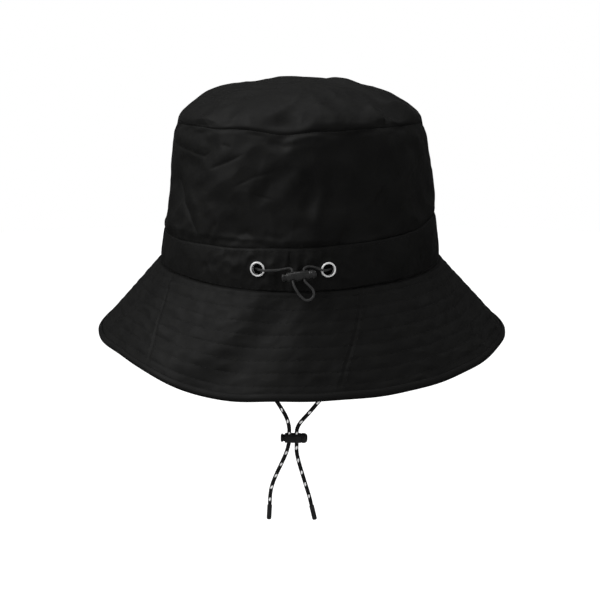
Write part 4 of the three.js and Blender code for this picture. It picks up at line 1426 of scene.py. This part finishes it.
def add_anchors():
    """The folded tabs that hold the chin cords, sewn between the sweatband and the crown."""
    for side, word in ((-1, "left"), (1, "right")):
        low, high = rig.box(f"chin_anchor_{word}")
        middle, half = (low + high) / 2, (high - low) / 2
        y, z = np.meshgrid(np.linspace(-half.y, half.y, 24), np.linspace(low.z, high.z, 20))
        points = np.stack([middle.x + side * 0.1 * MM * np.cos(y / half.y * 5), y, z], axis=-1)
        tab = sheet(f"chin_tab_{word}", points, y, z, 1.1 * MM, [WEBBING], offset=0.0)
        sewn(tab, "hat", "webbing", f"chin_anchor_{word}")


# ---- Stow pocket, snap and hook ---------------------------------------------------------------------


HEM = 3 * MM


def pocket_sheet(name, nodes, rear, front, height):
    """A cloth panel of the pocket between two straight edges, crinkled a little, with its hems."""
    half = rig.box("pocket_flap")[1].x
    length = half + OVAL
    across, y = np.meshgrid(np.linspace(-1, 1, 120), np.linspace(rear, front, 90))
    x = across * half * np.sqrt(np.clip(1 - (y / length) ** 2, 0, 1))
    z = height + 0.3 * MM * waves(x, y, 0.03) * smoothstep(1.0, 0.9, np.abs(across))
    z -= 0.12 * MM * (bump(y, front - HEM, 0.5 * MM) + bump(y, rear + HEM, 0.5 * MM))
    piece = sheet(name, np.stack([x, y, z], axis=-1), x, y, 0.55 * MM, [LINING])
    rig.slot(piece, "lining")
    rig.replaces(piece, *nodes)
    return piece


def add_pocket():
    rear_low, rear_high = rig.box("pocket_rear_panel")
    flap_low, flap_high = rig.box("pocket_flap")
    front_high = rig.box("pocket_front_panel")[1]
    rear = pocket_sheet("pocket_rear", ["pocket_rear_panel"], rear_low.y, rear_high.y, rear_high.z)
    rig.ride(rear, "hat")
    nodes = ["pocket_front_panel", "pocket_flap"]
    front = pocket_sheet("pocket_front", nodes, flap_low.y, front_high.y, flap_high.z)
    fold = (0, flap_high.y + 3 * MM, flap_high.z)
    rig.blend(front, "hat", "pocket_flap", start=fold, end=(0, flap_high.y - 3 * MM, flap_high.z))
    hem_x = np.linspace(-1, 1, 240)
    down = np.tile([0.0, 0.0, -1.0], (len(hem_x), 1))
    reach = flap_high.x * 0.97
    for name, body, y, z in (
        ("pocket_rear_hem", "hat", rear_high.y - HEM, rear_low.z),
        ("pocket_flap_hem", "pocket_flap", flap_low.y + HEM, flap_low.z),
    ):
        points = np.stack([hem_x * reach, y + 0 * hem_x, z + 0 * hem_x], axis=-1)
        sewn(stitch_mesh(name, [(points, down)], THREAD), body, "lining")


def add_label():
    """A plain woven label, with no lettering, sewn round its border."""
    low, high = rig.box("label_patch")
    x, y = np.meshgrid(np.linspace(low.x, high.x, 50), np.linspace(low.y, high.y, 30))
    z = high.z - 0.08 * MM * (1 + waves(x, y, 0.012))
    label = sheet("label", np.stack([x, y, z], axis=-1), x, y, 0.32 * MM, [LABEL])
    sewn(label, "hat", "label", "label_patch")
    inset = 1.2 * MM
    left, right, near, far = low.x + inset, high.x - inset, low.y + inset, high.y - inset
    corners = [(left, near), (right, near), (right, far), (left, far)]
    routes = []
    for start, end in zip(corners, corners[1:] + corners[:1]):
        share = np.linspace(0, 1, 20)[:, None]
        line = np.array(start) * (1 - share) + np.array(end) * share
        points = np.column_stack([line, np.full(len(line), high.z - 0.45 * MM)])
        routes.append((points, np.tile([0.0, 0.0, -1.0], (len(line), 1))))
    sewn(stitch_mesh("label_stitching", routes, THREAD, length=1.6, gap=0.6), "hat", "label")


def add_hook_strap():
    """Folded webbing that loops through the swivel eye, its two ends sewn together above it."""
    low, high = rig.box("hook_strap")
    middle_y, half_width = (low.y + high.y) / 2, (high.x - low.x) / 2
    thickness = 1.1 * MM
    loop = (high.y - low.y) / 2 - thickness / 2
    centre_z = low.z + loop + thickness / 2
    side = thickness / 2 + 0.1 * MM
    line = [(-side, high.z), (-side, centre_z + 9 * MM), (-side * 1.1, centre_z + 6 * MM)]
    line += [(-loop * 0.75, centre_z + 3 * MM)]
    for step in range(13):
        turn = math.radians(170 + 200 * step / 12)
        line.append((loop * math.cos(turn), centre_z + loop * math.sin(turn)))
    line += [(-y, z) for y, z in line[3::-1]]
    route = smooth_route([(0, middle_y + y, z) for y, z in line], 0.5 * MM)
    x, lengths = np.meshgrid(np.linspace(-half_width, half_width, 30), route_lengths(route))
    normal = np.cross(unit(np.gradient(route, axis=0)), (1.0, 0.0, 0.0))
    ribs = 0.05 * MM * np.cos(x / half_width * 22)
    points = route[:, None] + normal[:, None] * ribs[..., None]
    points[..., 0] += x
    strap = sheet("strap_webbing", points, x, lengths, thickness, [WEBBING], offset=0.0)
    sewn(strap, "hook_strap", "webbing", "hook_strap")


# ---- Everything together ----------------------------------------------------------------------------


def dress_cad_nodes():
    """Finishes for the CAD nodes that stay: the small hardware, and what lies inside the casing."""
    for finish, names in (
        (DRAW_BRAID, ("drawcord_in_casing_left", "drawcord_in_casing_right")),
        (STEEL, ("eyelet_washer_left", "eyelet_washer_right")),
        (DARK_METAL_AND_SHADE, ("snap_cap", "snap_socket", "snap_stud", "snap_post")),
        (DARK_METAL_AND_SHADE, ("swivel_eye", "hook_body", "hook_gate", "gate_pin")),
    ):
        for name in names:
            materials = frame["nodes"][name].data.materials
            materials.clear()
            materials.append(finish)


add_crown()
casing_face = add_casing()
brim_upper_face, brim_lower_face, brim_edge_drape = add_brim()
add_binding(brim_edge_drape)
add_sweatband()
add_stitching(casing_face, brim_upper_face, brim_lower_face)
add_eyelets()
BACK_LOCK = add_lock(
    "back_lock", "back_lock", (5.4, -106.5, 6.8), (0.99144, 0, 0.13053), (-0.1, 0.643, 0.7595),
    17.2, 2.75, 2.05, (-5.2, 1.5), 1.3, (4.6, 5.9), LOCK_GREY,
)
CHIN_LOCK = add_lock(
    "chin_lock", "chin_lock", (-2.65, 0, -131.4), (1, 0, 0), (0, 0, 1),
    15.6, 3.5, 2.75, (-4.9, 0.4), 1.65, (3.6,), PLASTIC,
)
add_drawcord(list(BACK_LOCK))
add_chin_cords(list(CHIN_LOCK))
add_anchors()
add_pocket()
add_label()
add_hook_strap()
dress_cad_nodes()

with open("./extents.json", "w") as report:
    json.dump({"cad": CAD_BOUNDS, "visual": [list(corner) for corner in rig.bounds()]}, report)
